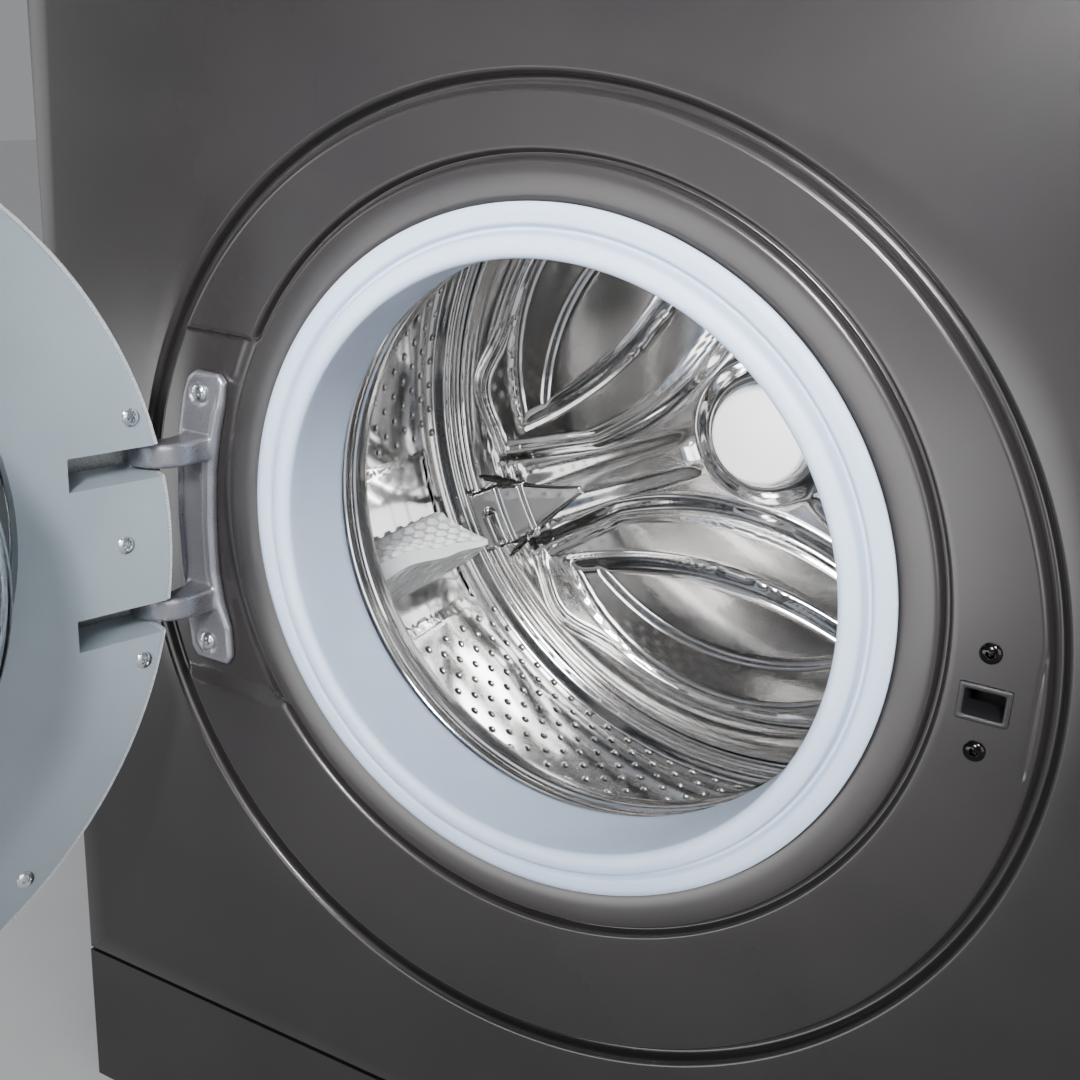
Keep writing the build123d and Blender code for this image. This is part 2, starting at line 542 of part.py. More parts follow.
# Lifters: three hollow paddles along the drum's wall, with rounded ridges
with BuildPart() as lifters:
    for angle in LIFTER_ANGLES:
        aim = radians(angle)
        across = Plane(origin=(0, FRONT_Y + 112, PORT_Z), x_dir=(cos(aim), 0, sin(aim)), z_dir=(0, -1, 0))
        with BuildSketch(across) as section:
            with BuildLine():
                Polyline((236, -34), (LIFTER_RIDGE_R + 8, -13), (LIFTER_RIDGE_R, 0), (LIFTER_RIDGE_R + 8, 13),
                         (236, 34), close=True)
            make_face()
            fillet(section.vertices().filter_by_position(Axis.X, LIFTER_RIDGE_R - 1, LIFTER_RIDGE_R + 9), 5)
        extrude(section.sketch, amount=-158)
save(lifters, "lifters")

# Three-armed spider behind the drum, with the shaft through its hub
with BuildPart() as drum_spider:
    spindle(0, PORT_Z, DRUM_BACK + 2, 332, 40)
    for aim in map(radians, LIFTER_ANGLES):
        along = Plane(origin=facing(DRUM_BACK + 2).origin, x_dir=(cos(aim), 0, sin(aim)), z_dir=(0, -1, 0))
        extrude(outline([(0, -10), (228, -12), (228, 12), (0, 10)], along), amount=-16)
    spindle(0, PORT_Z, DRUM_BACK, 340, SHAFT_R, mode=Mode.SUBTRACT)
save(drum_spider, "drum_spider")

with BuildPart() as drum_shaft:
    spindle(0, PORT_Z, DRUM_BACK, 400, SHAFT_R)
    spindle(0, PORT_Z, 380, 402, SHAFT_R - 3)
save(drum_shaft, "drum_shaft")

with BuildPart() as drum_pulley:
    spindle(0, PORT_Z, BELT_DEPTH - 8, BELT_DEPTH + 8, PULLEY_R)
    spindle(0, PORT_Z, BELT_DEPTH - 9, BELT_DEPTH + 9, PULLEY_R - 12, mode=Mode.SUBTRACT)
    for angle in range(0, 180, 36):
        with Locations(Location((0, FRONT_Y + BELT_DEPTH, PORT_Z), (0, angle, 0))):
            Box(2 * PULLEY_R - 20, 6, 18)
    spindle(0, PORT_Z, BELT_DEPTH - 12, BELT_DEPTH + 8, 30)
    spindle(0, PORT_Z, 370, 410, SHAFT_R, mode=Mode.SUBTRACT)
save(drum_pulley, "drum_pulley")

# ---------------------------------------------------------------- water

# Drain pump: volute with an impeller behind a screw-in filter, at the front bottom right
PUMP_X, PUMP_Z = 208, 52
with BuildPart() as pump_housing:
    spindle(PUMP_X, PUMP_Z, 16, 118, 30)
    spindle(PUMP_X, PUMP_Z, 15, 84, 26, mode=Mode.SUBTRACT)
    spindle(PUMP_X, PUMP_Z, 83, 100, 21, mode=Mode.SUBTRACT)
    spindle(PUMP_X, PUMP_Z, 99, 119, 3.05, mode=Mode.SUBTRACT)
    rod(PUMP_X, 60, PUMP_Z + 24, PUMP_Z + 45, 13)
    rod(PUMP_X, 60, PUMP_Z + 10, PUMP_Z + 46, 10, mode=Mode.SUBTRACT)
save(pump_housing, "pump_housing")

with BuildPart() as pump_impeller:
    spindle(PUMP_X, PUMP_Z, 88, 96, 6)
    spindle(PUMP_X, PUMP_Z, 88, 117, 3)
    for angle in (0, 45, 90, 135):
        with Locations(Location((PUMP_X, FRONT_Y + 92, PUMP_Z), (0, angle, 0))):
            Box(38, 7, 2)
save(pump_impeller, "pump_impeller")

with BuildPart() as filter_cap:
    spindle(PUMP_X, PUMP_Z, 10, 20, 25.6)
    block((PUMP_X - 20, 4, PUMP_Z - 4), (PUMP_X + 20, 11, PUMP_Z + 4))
    spindle(PUMP_X, PUMP_Z, 20, 70, 22)
    spindle(PUMP_X, PUMP_Z, 24, 71, 20, mode=Mode.SUBTRACT)
    for z in (-12, 0, 12):
        block((PUMP_X - 25, 30, PUMP_Z + z - 3), (PUMP_X + 25, 62, PUMP_Z + z + 3), mode=Mode.SUBTRACT)
save(filter_cap, "filter_cap")

# Sump hose between the tub and the pump's upper spigot: a straight rubber bellows
SUMP_TOP = PORT_Z - 176
with BuildPart() as sump_hose:
    rod(PUMP_X, 80, PUMP_Z + 60, SUMP_TOP, 16)
    rod(PUMP_X, 80, PUMP_Z + 59, SUMP_TOP + 1, 13, mode=Mode.SUBTRACT)
save(sump_hose, "sump_hose")

# Inlet valve with two threaded spouts, and the drain outlet
VALVE_R, VALVE_BORE, VALVE_REACH = 13.2, 7, 18
with BuildPart() as inlet_valve:
    block((VALVE_X - 20, 440, VALVE_Z - 18), (VALVE_X + 20, CABINET_D - SHEET - 0.3, VALVE_Z + 18))
    spindle(VALVE_X, VALVE_Z, CABINET_D - 4, CABINET_D + VALVE_REACH, VALVE_R)
    spindle(VALVE_X, VALVE_Z, CABINET_D - 10, CABINET_D + VALVE_REACH + 1, VALVE_BORE, mode=Mode.SUBTRACT)
save(inlet_valve, "inlet_valve")

DRAIN_R, DRAIN_BORE = 11, 8.5
with BuildPart() as drain_outlet:
    spindle(DRAIN_X, DRAIN_Z, CABINET_D - 40, CABINET_D + 30, DRAIN_R)
    spindle(DRAIN_X, DRAIN_Z, CABINET_D - 8, CABINET_D - SHEET - 0.3, 20)
    spindle(DRAIN_X, DRAIN_Z, CABINET_D - 41, CABINET_D + 31, DRAIN_BORE, mode=Mode.SUBTRACT)
save(drain_outlet, "drain_outlet")

with BuildPart() as cord_gland:
    spindle(CORD_X, CORD_Z, CABINET_D - 8, CABINET_D + 0.3, 8.7)
    spindle(CORD_X, CORD_Z, CABINET_D + 0.3, CABINET_D + 8, 12)
    spindle(CORD_X, CORD_Z, CABINET_D - 9, CABINET_D + 9, 4.2, mode=Mode.SUBTRACT)
save(cord_gland, "cord_gland")

# ---------------------------------------------------------------- plinth and its flap

FLAP_LOW, FLAP_HIGH = (150, 14), (268, 88)
with BuildPart() as plinth:
    block((-HALF_W, 0, 3), (HALF_W, 2.5, PLINTH_TOP))
    block((-HALF_W, 2, PLINTH_TOP - 2.5), (HALF_W, 12, PLINTH_TOP))
    block((FLAP_LOW[0], -1, FLAP_LOW[1]), (FLAP_HIGH[0], 20, FLAP_HIGH[1]), mode=Mode.SUBTRACT)
save(plinth, "plinth")

with BuildPart() as service_flap:
    block((FLAP_LOW[0] + 1, -0.6, FLAP_LOW[1] + 1), (FLAP_HIGH[0] - 1, 1.6, FLAP_HIGH[1] - 1))
    block((FLAP_HIGH[0] - 9, -2.4, 44), (FLAP_HIGH[0] - 3, -0.5, 58))
    rod(FLAP_LOW[0] + 2.4, -1.2, FLAP_LOW[1] + 1, FLAP_HIGH[1] - 1, 1.4)
save(service_flap, "service_flap")

# ---------------------------------------------------------------- control panel and drawer

DRAWER_LOW, DRAWER_HIGH = (-288, 709), (-112, 791)
KNOB_X, CONTROL_Z, START_X = -30, 750, 252
DISPLAY = (50, 205)
OPTION_XS = (90, 165)
with BuildPart() as control_panel:
    block((-HALF_W, -2, FASCIA_FOOT), (HALF_W, 13, FASCIA_TOP))
    block((-HALF_W + 2.5, 1, FASCIA_FOOT + 2.5), (HALF_W - 2.5, 14, FASCIA_TOP - 2.5), mode=Mode.SUBTRACT)
    block((DRAWER_LOW[0], -3, DRAWER_LOW[1]), (DRAWER_HIGH[0], 20, DRAWER_HIGH[1]), mode=Mode.SUBTRACT)
    block((DISPLAY[0], -3, 748), (DISPLAY[1], 20, 782), mode=Mode.SUBTRACT)
    spindle(KNOB_X, CONTROL_Z, -3, 20, 6.5, mode=Mode.SUBTRACT)
    spindle(START_X, CONTROL_Z, -3, 20, 14.5, mode=Mode.SUBTRACT)
    for x in OPTION_XS:
        block((x - 10.5, -3, 719.5), (x + 10.5, 20, 730.5), mode=Mode.SUBTRACT)
    fillet(control_panel.edges().filter_by(Axis.X).group_by(Axis.Y)[0].group_by(Axis.Z)[0], 1.5)
save(control_panel, "control_panel")

with BuildPart() as display_window:
    block((DISPLAY[0] + 0.2, -2.4, 748.2), (DISPLAY[1] - 0.2, 1.5, 781.8))
save(display_window, "display_window")

with BuildPart() as programme_knob:
    spindle(KNOB_X, CONTROL_Z, -24, -2.6, 27)
    fillet(programme_knob.edges().filter_by(GeomType.CIRCLE).group_by(Axis.Y)[0], 2)
    spindle(KNOB_X, CONTROL_Z, -3, 19, 6)
    block((KNOB_X - 1, -25, CONTROL_Z + 12), (KNOB_X + 1, -23.2, CONTROL_Z + 24), mode=Mode.SUBTRACT)
save(programme_knob, "programme_knob")

with BuildPart() as start_button:
    spindle(START_X, CONTROL_Z, -5, 15, 14)
    fillet(start_button.edges().filter_by(GeomType.CIRCLE).group_by(Axis.Y)[0], 1)
save(start_button, "start_button")

for number, x in enumerate(OPTION_XS, 1):
    with BuildPart() as option_button:
        block((x - 10, -5, 720), (x + 10, 15, 730))
        fillet(option_button.edges().filter_by(Axis.Z).group_by(Axis.Y)[0], 1)
    save(option_button, f"option_button_{number}")

with BuildPart() as control_board:
    block((-70, 21, 708), (285, 22.6, 790))
    block((DISPLAY[0] + 4, 2, 752), (DISPLAY[1] - 4, 21, 778))
    spindle(KNOB_X, CONTROL_Z, 19.2, 21, 12)
    block((220, 22.6, 712), (275, 40, 780))
save(control_board, "control_board")

HOUSING_BACK = 300
with BuildPart() as drawer_housing:
    block((DRAWER_LOW[0] - 3, 14, DRAWER_LOW[1] - 4), (DRAWER_HIGH[0] + 3, HOUSING_BACK, DRAWER_HIGH[1] + 4))
    block((DRAWER_LOW[0], 13, DRAWER_LOW[1] - 1), (DRAWER_HIGH[0], HOUSING_BACK - 3, DRAWER_HIGH[1] + 1),
          mode=Mode.SUBTRACT)
save(drawer_housing, "drawer_housing")

# Detergent drawer: three wells divided by walls; its front is a separate moulding
DRAWER_BACK = 270
TRAY_LEFT, TRAY_RIGHT = DRAWER_LOW[0] + 3, DRAWER_HIGH[0] - 3
WELL_XS = [(TRAY_LEFT + 2.5, -200), (-197.5, -160), (-157.5, TRAY_RIGHT - 2.5)]
with BuildPart() as detergent_drawer:
    block((TRAY_LEFT, 4, 713), (TRAY_RIGHT, DRAWER_BACK, 775))
    for left, right in WELL_XS:
        block((left, 8, 716), (right, DRAWER_BACK - 3, 776), mode=Mode.SUBTRACT)
save(detergent_drawer, "detergent_drawer")

with BuildPart() as drawer_front:
    block((DRAWER_LOW[0] + 1, -5, DRAWER_LOW[1] + 1), (DRAWER_HIGH[0] - 1, 3.8, DRAWER_HIGH[1] - 1))
    block((DRAWER_LOW[0] + 35, -6, 728), (DRAWER_HIGH[0] - 35, -1, 762), mode=Mode.SUBTRACT)
    fillet(drawer_front.edges().filter_by(Axis.X).group_by(Axis.Y)[0], 1.5)
save(drawer_front, "drawer_front")
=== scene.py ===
"""Looks for the front load washing machine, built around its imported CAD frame."""
import json
import math
import bmesh
import bpy
from mathutils import Matrix, Vector

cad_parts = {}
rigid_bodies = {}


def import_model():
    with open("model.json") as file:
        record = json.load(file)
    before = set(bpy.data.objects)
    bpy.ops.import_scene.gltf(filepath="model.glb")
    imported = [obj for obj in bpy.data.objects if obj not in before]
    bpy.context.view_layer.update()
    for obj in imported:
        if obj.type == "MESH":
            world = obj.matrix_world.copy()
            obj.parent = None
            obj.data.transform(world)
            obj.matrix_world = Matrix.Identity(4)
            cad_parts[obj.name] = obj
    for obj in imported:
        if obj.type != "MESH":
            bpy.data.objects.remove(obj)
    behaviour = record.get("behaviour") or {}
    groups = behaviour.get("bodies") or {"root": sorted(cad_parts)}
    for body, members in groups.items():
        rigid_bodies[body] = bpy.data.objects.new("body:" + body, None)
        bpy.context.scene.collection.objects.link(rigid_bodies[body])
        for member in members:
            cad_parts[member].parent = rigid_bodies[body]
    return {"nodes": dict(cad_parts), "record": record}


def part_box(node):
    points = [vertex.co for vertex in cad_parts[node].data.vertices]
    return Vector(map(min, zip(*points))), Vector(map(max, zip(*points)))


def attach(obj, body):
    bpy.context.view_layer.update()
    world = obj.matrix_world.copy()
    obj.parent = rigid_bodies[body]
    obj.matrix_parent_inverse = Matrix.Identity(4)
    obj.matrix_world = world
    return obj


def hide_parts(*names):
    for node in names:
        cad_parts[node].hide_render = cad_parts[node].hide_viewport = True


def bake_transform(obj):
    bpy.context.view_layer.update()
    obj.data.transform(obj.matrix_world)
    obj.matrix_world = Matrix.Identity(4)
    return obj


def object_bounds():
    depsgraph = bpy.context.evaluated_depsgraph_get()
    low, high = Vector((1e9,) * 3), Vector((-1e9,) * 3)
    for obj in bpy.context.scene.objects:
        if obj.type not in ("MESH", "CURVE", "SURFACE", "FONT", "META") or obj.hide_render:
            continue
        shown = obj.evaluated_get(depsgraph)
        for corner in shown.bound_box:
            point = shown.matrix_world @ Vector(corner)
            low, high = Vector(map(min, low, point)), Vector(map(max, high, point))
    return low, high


MM = 0.001

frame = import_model()
nodes = frame["nodes"]
cad_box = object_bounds()

# ------------------------------------------------------------------ places read from the frame

front_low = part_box("front_panel")[0]
gasket_low, gasket_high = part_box("gasket")
FRONT_Y = front_low[1]
PORT_X = (gasket_low[0] + gasket_high[0]) / 2
PORT_Z = (gasket_low[2] + gasket_high[2]) / 2
joints = {joint["name"]: joint for joint in frame["record"]["behaviour"]["joints"]}
HINGE = Vector(joints["door_swing"]["pos_m"])
OPEN_ANGLE = math.radians(joints["door_swing"]["range_deg"][1])


def place(x, depth, z):
    """A point from millimetres right of, behind and above the porthole's middle on the front."""
    return Vector((PORT_X + x * MM, FRONT_Y + depth * MM, PORT_Z + z * MM))


# ------------------------------------------------------------------ camera, floor and light

# The camera stands to the right of the open door, above the porthole, and looks in and down.
CAMERA_AT = place(268.4, -512.4, 222.7)
YAW, PITCH, ROLL = (math.radians(a) for a in (-27.67, -19.81, -3.21))
FOCAL_SHARE = 1.28009  # focal length over the width of the picture

forward = Vector((math.sin(YAW) * math.cos(PITCH), math.cos(YAW) * math.cos(PITCH), math.sin(PITCH)))
right = Vector((math.cos(YAW), -math.sin(YAW), 0))
down = forward.cross(right)
rolled_right = math.cos(ROLL) * right + math.sin(ROLL) * down
rolled_down = -math.sin(ROLL) * right + math.cos(ROLL) * down
camera_data = bpy.data.cameras.new("photo_camera")
camera_data.sensor_width = 36
camera_data.lens = 36 * FOCAL_SHARE
camera_data.clip_start = 0.01
camera = bpy.data.objects.new("photo_camera", camera_data)
bpy.context.scene.collection.objects.link(camera)
camera.matrix_world = Matrix.Translation(CAMERA_AT) @ Matrix(
    (rolled_right, -rolled_down, -forward)).transposed().to_4x4()
bpy.context.scene.camera = camera


def link(name, mesh):
    piece = bpy.data.objects.new(name, mesh)
    bpy.context.scene.collection.objects.link(piece)
    return piece


def area_light(name, at, target, size, power):
    """A soft rectangular light, placed and aimed in metres."""
    data = bpy.data.lights.new(name, "AREA")
    data.shape = "RECTANGLE"
    data.size, data.size_y = size
    data.energy = power
    lamp = link(name, data)
    lamp.location = at
    lamp.rotation_euler = (Vector(target) - Vector(at)).to_track_quat("-Z", "Y").to_euler()
    return lamp


floor_z = cad_box[0][2]
area_light("key_softbox", (1.5, -1.4, 0.7), (0, -0.1, 0.4), (1.2, 1.2), 16.5)
area_light("fill_softbox", (-2.2, -1.2, 0.8), (0, -0.2, 0.4), (1.2, 1.4), 13)
area_light("top_softbox", (0.2, -0.7, 2.3), (0, -0.2, 0.3), (1.8, 1.2), 5.5)
drum_light = area_light("drum_softbox", (0.35, -1.1, 1.15), (-0.12, 0.0, 0.38), (0.4, 0.4), 1.9)
drum_light.data.spread = math.radians(20)
low_light = area_light("low_softbox", (-0.5, -1.0, 0.16), (0.0, 0.05, 0.34), (1.2, 0.28), 1.7)
low_light.data.spread = math.radians(85)
hub_light = area_light("hub_softbox", (0.02, -1.1, 0.66), (0.0, 0.05, 0.4), (0.3, 0.3), 0.9)
hub_light.data.spread = math.radians(22)

world = bpy.data.worlds.new("studio")
bpy.context.scene.world = world
world.use_nodes = True
world.node_tree.nodes["Background"].inputs["Color"].default_value = (0.93, 0.95, 1.0, 1)
world.node_tree.nodes["Background"].inputs["Strength"].default_value = 0.32

# ------------------------------------------------------------------ materials


def shader(name, colour, second=None, rough=(0.4, 0.5), metal=0.0, grain=400.0, bump=0.02, stretch=(1, 1, 1),
           coat=0.0, transmission=0.0, alpha=1.0, ior=1.45, coarse=18.0, detail=5.0):
    """A principled material whose colour drifts between two tones, with grain in its roughness and bump.

    grain and coarse are noise scales per metre, and bump is the height of the grain in millimetres."""
    made = bpy.data.materials.new(name)
    made.use_nodes = True
    tree = made.node_tree
    core = tree.nodes["Principled BSDF"]
    core.inputs["Metallic"].default_value = metal
    core.inputs["IOR"].default_value = ior
    core.inputs["Coat Weight"].default_value = coat
    core.inputs["Transmission Weight"].default_value = transmission
    core.inputs["Alpha"].default_value = alpha
    spot = tree.nodes.new("ShaderNodeTexCoord")
    fit = tree.nodes.new("ShaderNodeMapping")
    fit.inputs["Scale"].default_value = stretch
    tree.links.new(spot.outputs["Object"], fit.inputs["Vector"])

    def noise(scale):
        node = tree.nodes.new("ShaderNodeTexNoise")
        node.inputs["Scale"].default_value = scale
        node.inputs["Detail"].default_value = detail
        tree.links.new(fit.outputs["Vector"], node.inputs["Vector"])
        return node

    def spread(source, low, high):
        node = tree.nodes.new("ShaderNodeMapRange")
        node.inputs["From Min"].default_value = 0.3
        node.inputs["From Max"].default_value = 0.7
        node.inputs["To Min"].default_value = low
        node.inputs["To Max"].default_value = high
        tree.links.new(source.outputs["Fac"], node.inputs["Value"])
        return node

    drift, fine = noise(coarse), noise(grain)
    ramp = tree.nodes.new("ShaderNodeValToRGB")
    ramp.color_ramp.elements[0].position = 0.35
    ramp.color_ramp.elements[1].position = 0.65
    ramp.color_ramp.elements[0].color = (*colour, 1)
    ramp.color_ramp.elements[1].color = (*(second or [min(1, c * 1.12) for c in colour]), 1)
    tree.links.new(drift.outputs["Fac"], ramp.inputs["Fac"])
    tree.links.new(ramp.outputs["Color"], core.inputs["Base Color"])
    tree.links.new(spread(fine, *rough).outputs["Result"], core.inputs["Roughness"])
    if bump:
        lift = tree.nodes.new("ShaderNodeBump")
        lift.inputs["Strength"].default_value = 1.0
        lift.inputs["Distance"].default_value = bump * MM
        tree.links.new(fine.outputs["Fac"], lift.inputs["Height"])
        tree.links.new(lift.outputs["Normal"], core.inputs["Normal"])
    return made


def srgb(*levels):
    """Linear colour from 0-255 display levels."""
    return tuple(((v / 255 + 0.055) / 1.055) ** 2.4 if v > 10 else v / 255 / 12.92 for v in levels)


graphite = shader("graphite_paint", srgb(47, 45, 46), srgb(51, 49, 49), (0.2, 0.27), 0.4, 2600, 0.008,
                  ior=1.6)
side_paint = shader("side_paint", srgb(58, 57, 58), srgb(63, 62, 62), (0.36, 0.46), 0.45, 2200, 0.02)
zinc = shader("zinc_sheet", srgb(176, 178, 180), srgb(184, 186, 188), (0.36, 0.5), 0.8, 160, 0.01, coarse=70)
laminate = shader("worktop_laminate", srgb(50, 49, 51), srgb(58, 57, 59), (0.45, 0.6), 0.0, 1500, 0.03)
fascia = shader("fascia_plastic", srgb(46, 45, 47), srgb(51, 50, 52), (0.35, 0.42), 0.1, 1900, 0.015)
gloss_black = shader("gloss_black", (0.008, 0.008, 0.01), (0.014, 0.014, 0.016), (0.05, 0.09), 0.0, 700,
                     0.002, coat=0.6)
chrome_knob = shader("spun_metal", srgb(176, 178, 182), srgb(196, 198, 202), (0.18, 0.3), 1.0, 500, 0.01,
                     (1, 1, 12))
board_green = shader("board_green", srgb(28, 84, 46), srgb(40, 110, 60), (0.35, 0.5), 0.0, 300, 0.05)
white_plastic = shader("white_plastic", srgb(214, 216, 216), srgb(226, 228, 228), (0.38, 0.48), 0.0, 1200,
                       0.02)
gasket_rubber = shader("gasket_rubber", srgb(158, 173, 194), srgb(166, 181, 201), (0.38, 0.5), 0.0, 900,
                       0.03)
black_plastic = shader("black_plastic", srgb(26, 26, 28), srgb(36, 36, 38), (0.38, 0.5), 0.0, 1400, 0.03)
casting = shader("hinge_casting", srgb(140, 140, 147), srgb(150, 150, 157), (0.26, 0.34), 0.8, 1500, 0.035)
bright_screw = shader("bright_screw", srgb(200, 204, 206), srgb(225, 228, 230), (0.12, 0.22), 1.0, 900, 0.01)
dark_screw = shader("dark_screw", srgb(40, 38, 38), srgb(58, 56, 56), (0.08, 0.16), 1.0, 900, 0.005)
door_plastic = shader("door_plastic", srgb(136, 147, 154), srgb(143, 154, 161), (0.36, 0.44), 0.0, 1800,
                      0.015)
door_rim = shader("door_rim", srgb(196, 200, 204), srgb(210, 214, 217), (0.24, 0.32), 0.35, 1500, 0.01)
tint = shader("tinted_window", (0.012, 0.012, 0.014), (0.016, 0.016, 0.018), (0.04, 0.07), 0.0, 300, 0.0,
              coat=0.5, alpha=0.86)
clear_glass = shader("bowl_glass", (0.86, 0.9, 0.92), (0.9, 0.93, 0.95), (0.02, 0.05), 0.0, 60, 0.01,
                     transmission=1.0, ior=1.5)
plated = shader("plated_steel", srgb(150, 150, 152), srgb(176, 176, 178), (0.25, 0.4), 1.0, 600, 0.02)
tub_plastic = shader("tub_plastic", srgb(150, 152, 152), srgb(168, 170, 170), (0.5, 0.65), 0.0, 500, 0.08)
concrete = shader("concrete", srgb(140, 138, 132), srgb(172, 170, 164), (0.8, 0.95), 0.0, 220, 0.8,
                  coarse=60)
polished = shader("polished_drum", srgb(222, 221, 220), srgb(230, 229, 228), (0.07, 0.13), 1.0, 14, 0.12,
                  coarse=9, detail=2)
hub_satin = shader("hub_satin", srgb(236, 236, 238), srgb(242, 242, 244), (0.3, 0.38), 0.15, 1400, 0.01)
lifter_plastic = shader("lifter_plastic", srgb(214, 216, 218), srgb(224, 226, 228), (0.18, 0.26), 0.0, 1500,
                        0.02)
cast_alloy = shader("cast_alloy", srgb(158, 160, 163), srgb(176, 178, 180), (0.4, 0.55), 0.9, 700, 0.08)
ground_steel = shader("ground_steel", srgb(170, 170, 172), srgb(190, 190, 192), (0.16, 0.28), 1.0, 1200,
                      0.01, (1, 12, 1))
motor_paint = shader("motor_paint", srgb(60, 62, 66), srgb(78, 80, 84), (0.45, 0.6), 0.3, 500, 0.08)
belt_rubber = shader("belt_rubber", srgb(22, 22, 23), srgb(32, 32, 33), (0.6, 0.75), 0.0, 900, 0.05)
damper_plastic = shader("damper_plastic", srgb(92, 94, 96), srgb(108, 110, 112), (0.45, 0.6), 0.0, 900, 0.04)

FINISHES = {
    "front_panel": graphite, "plinth": graphite, "side_panel_left": side_paint,
    "side_panel_right": side_paint,
    "back_panel": zinc, "base_pan": zinc, "top_braces": zinc, "worktop": laminate, "control_panel": fascia,
    "drawer_front": fascia, "service_flap": graphite, "display_window": gloss_black,
    "programme_knob": chrome_knob,
    "start_button": chrome_knob, "option_button_1": chrome_knob, "option_button_2": chrome_knob,
    "control_board": board_green, "drawer_housing": white_plastic, "detergent_drawer": white_plastic,
    "gasket": gasket_rubber, "sump_hose": belt_rubber, "lock_bezel": black_plastic,
    "lock_body": black_plastic,
    "cord_gland": black_plastic, "filter_cap": black_plastic, "pump_housing": white_plastic,
    "pump_impeller": white_plastic, "foot_front_left": black_plastic, "foot_front_right": black_plastic,
    "foot_back_left": black_plastic, "foot_back_right": black_plastic, "hinge_bracket": casting,
    "panel_screws": dark_screw, "door_screws": bright_screw, "hinge_pin": bright_screw,
    "door_inner_frame": door_plastic, "door_outer_frame": door_rim, "door_window": tint,
    "door_glass": clear_glass,
    "door_hook": plated, "tub_front": tub_plastic, "tub_rear": tub_plastic, "tub_weights": concrete,
    "drum_shell": polished, "drum_back": polished, "hub_cap": hub_satin, "lifters": lifter_plastic,
    "drum_spider": cast_alloy, "drum_pulley": cast_alloy, "drum_shaft": ground_steel,
    "drum_bearings": ground_steel,
    "motor_pulley": ground_steel, "heater": ground_steel, "damper_rods": ground_steel,
    "suspension_springs": ground_steel, "motor": motor_paint, "drive_belt": belt_rubber,
    "damper_cylinders": damper_plastic, "inlet_valve": white_plastic, "drain_outlet": damper_plastic,
}
for node_name, finish in FINISHES.items():
    for target in [nodes[node_name], *nodes[node_name].children_recursive]:
        if target.type == "MESH":
            target.data.materials.clear()
            target.data.materials.append(finish)

floor_mesh = bpy.data.meshes.new("studio_floor")
FLOOR_HALF = 6
FLOOR_CORNERS = [(-FLOOR_HALF, -FLOOR_HALF), (FLOOR_HALF, -FLOOR_HALF), (FLOOR_HALF, FLOOR_HALF),
                 (-FLOOR_HALF, FLOOR_HALF)]
floor_mesh.from_pydata([(x, y, floor_z - 0.0005) for x, y in FLOOR_CORNERS], [], [(0, 1, 2, 3)])
studio_floor = link("studio_floor", floor_mesh)
studio_floor.data.materials.append(shader("floor_paper", srgb(232, 232, 232), srgb(236, 236, 236),
                                          (0.7, 0.8), 0, 300, 0.05))

# ------------------------------------------------------------------ mesh helpers


def finish_piece(name, mesh, finish, body, stands_for, angle=40):
    """Link a finished mesh as a piece: its material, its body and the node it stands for."""
    mesh.materials.append(finish)
    piece = link(name, mesh)
    for face in mesh.polygons:
        face.use_smooth = True
    mesh.set_sharp_from_angle(angle=math.radians(angle))
    if isinstance(body, str):
        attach(piece, body)
    else:
        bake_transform(piece)
    if stands_for:
        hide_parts(*stands_for)
    return piece


def smooth_step(value, low, high):
    t = min(1, max(0, (value - low) / (high - low)))
    return t * t * (3 - 2 * t)


def mesh_from(name, verts, faces, merge=0.0):
    mesh = bpy.data.meshes.new(name)
    work = bmesh.new()
    made = [work.verts.new(v) for v in verts]
    for face in faces:
        corners = [made[i] for i in dict.fromkeys(face)]
        if len(corners) > 2:
            try:
                work.faces.new(corners)
            except ValueError:
                pass
    if merge:
        bmesh.ops.remove_doubles(work, verts=work.verts, dist=merge)
    bmesh.ops.recalc_face_normals(work, faces=work.faces)
    work.to_mesh(mesh)
    work.free()
    return mesh


def rounded(points, steps=4):
    """Round an outline's corners. Each point is (radius, depth) or (radius, depth, corner radius)."""
    result = []
    for index, point in enumerate(points):
        here = Vector(point[:2])
        size = point[2] if len(point) > 2 else 0
        before = Vector(points[index - 1][:2])
        after = Vector(points[(index + 1) % len(points)][:2])
        if not size:
            result.append(here)
            continue
        inward, outward = (before - here), (after - here)
        reach = min(size, inward.length * 0.48, outward.length * 0.48)
        start, end = here + inward.normalized() * reach, here + outward.normalized() * reach
        for step in range(steps + 1):
            t = step / steps
            result.append(start * (1 - t) ** 2 + here * 2 * t * (1 - t) + end * t ** 2)
    return result


def ring_faces(rings, count, looped=False):
    """Quads between neighbouring rings of count points; looped also joins the last ring to the first."""
    quads = []
    for ring in range(rings if looped else rings - 1):
        above = (ring + 1) % rings
        for step in range(count):
            ahead = (step + 1) % count
            quads.append((ring * count + step, ring * count + ahead, above * count + ahead,
                          above * count + step))
    return quads


def end_caps(rings, count):
    """One face over the first ring and one over the last."""
    return [tuple(range(count)), tuple(range((rings - 1) * count, rings * count))]


def lathe(name, points, segments=256):
    """A closed ring turned from (radius, depth) millimetres about the porthole's axis."""
    profile = rounded(points)
    verts = []
    for turn in range(segments):
        angle = 2 * math.pi * turn / segments
        for radius, depth in profile:
            verts.append(place(radius * math.cos(angle), depth, radius * math.sin(angle)))
    return mesh_from(name, verts, ring_faces(segments, len(profile), looped=True), merge=1e-6)


# ------------------------------------------------------------------ front panel

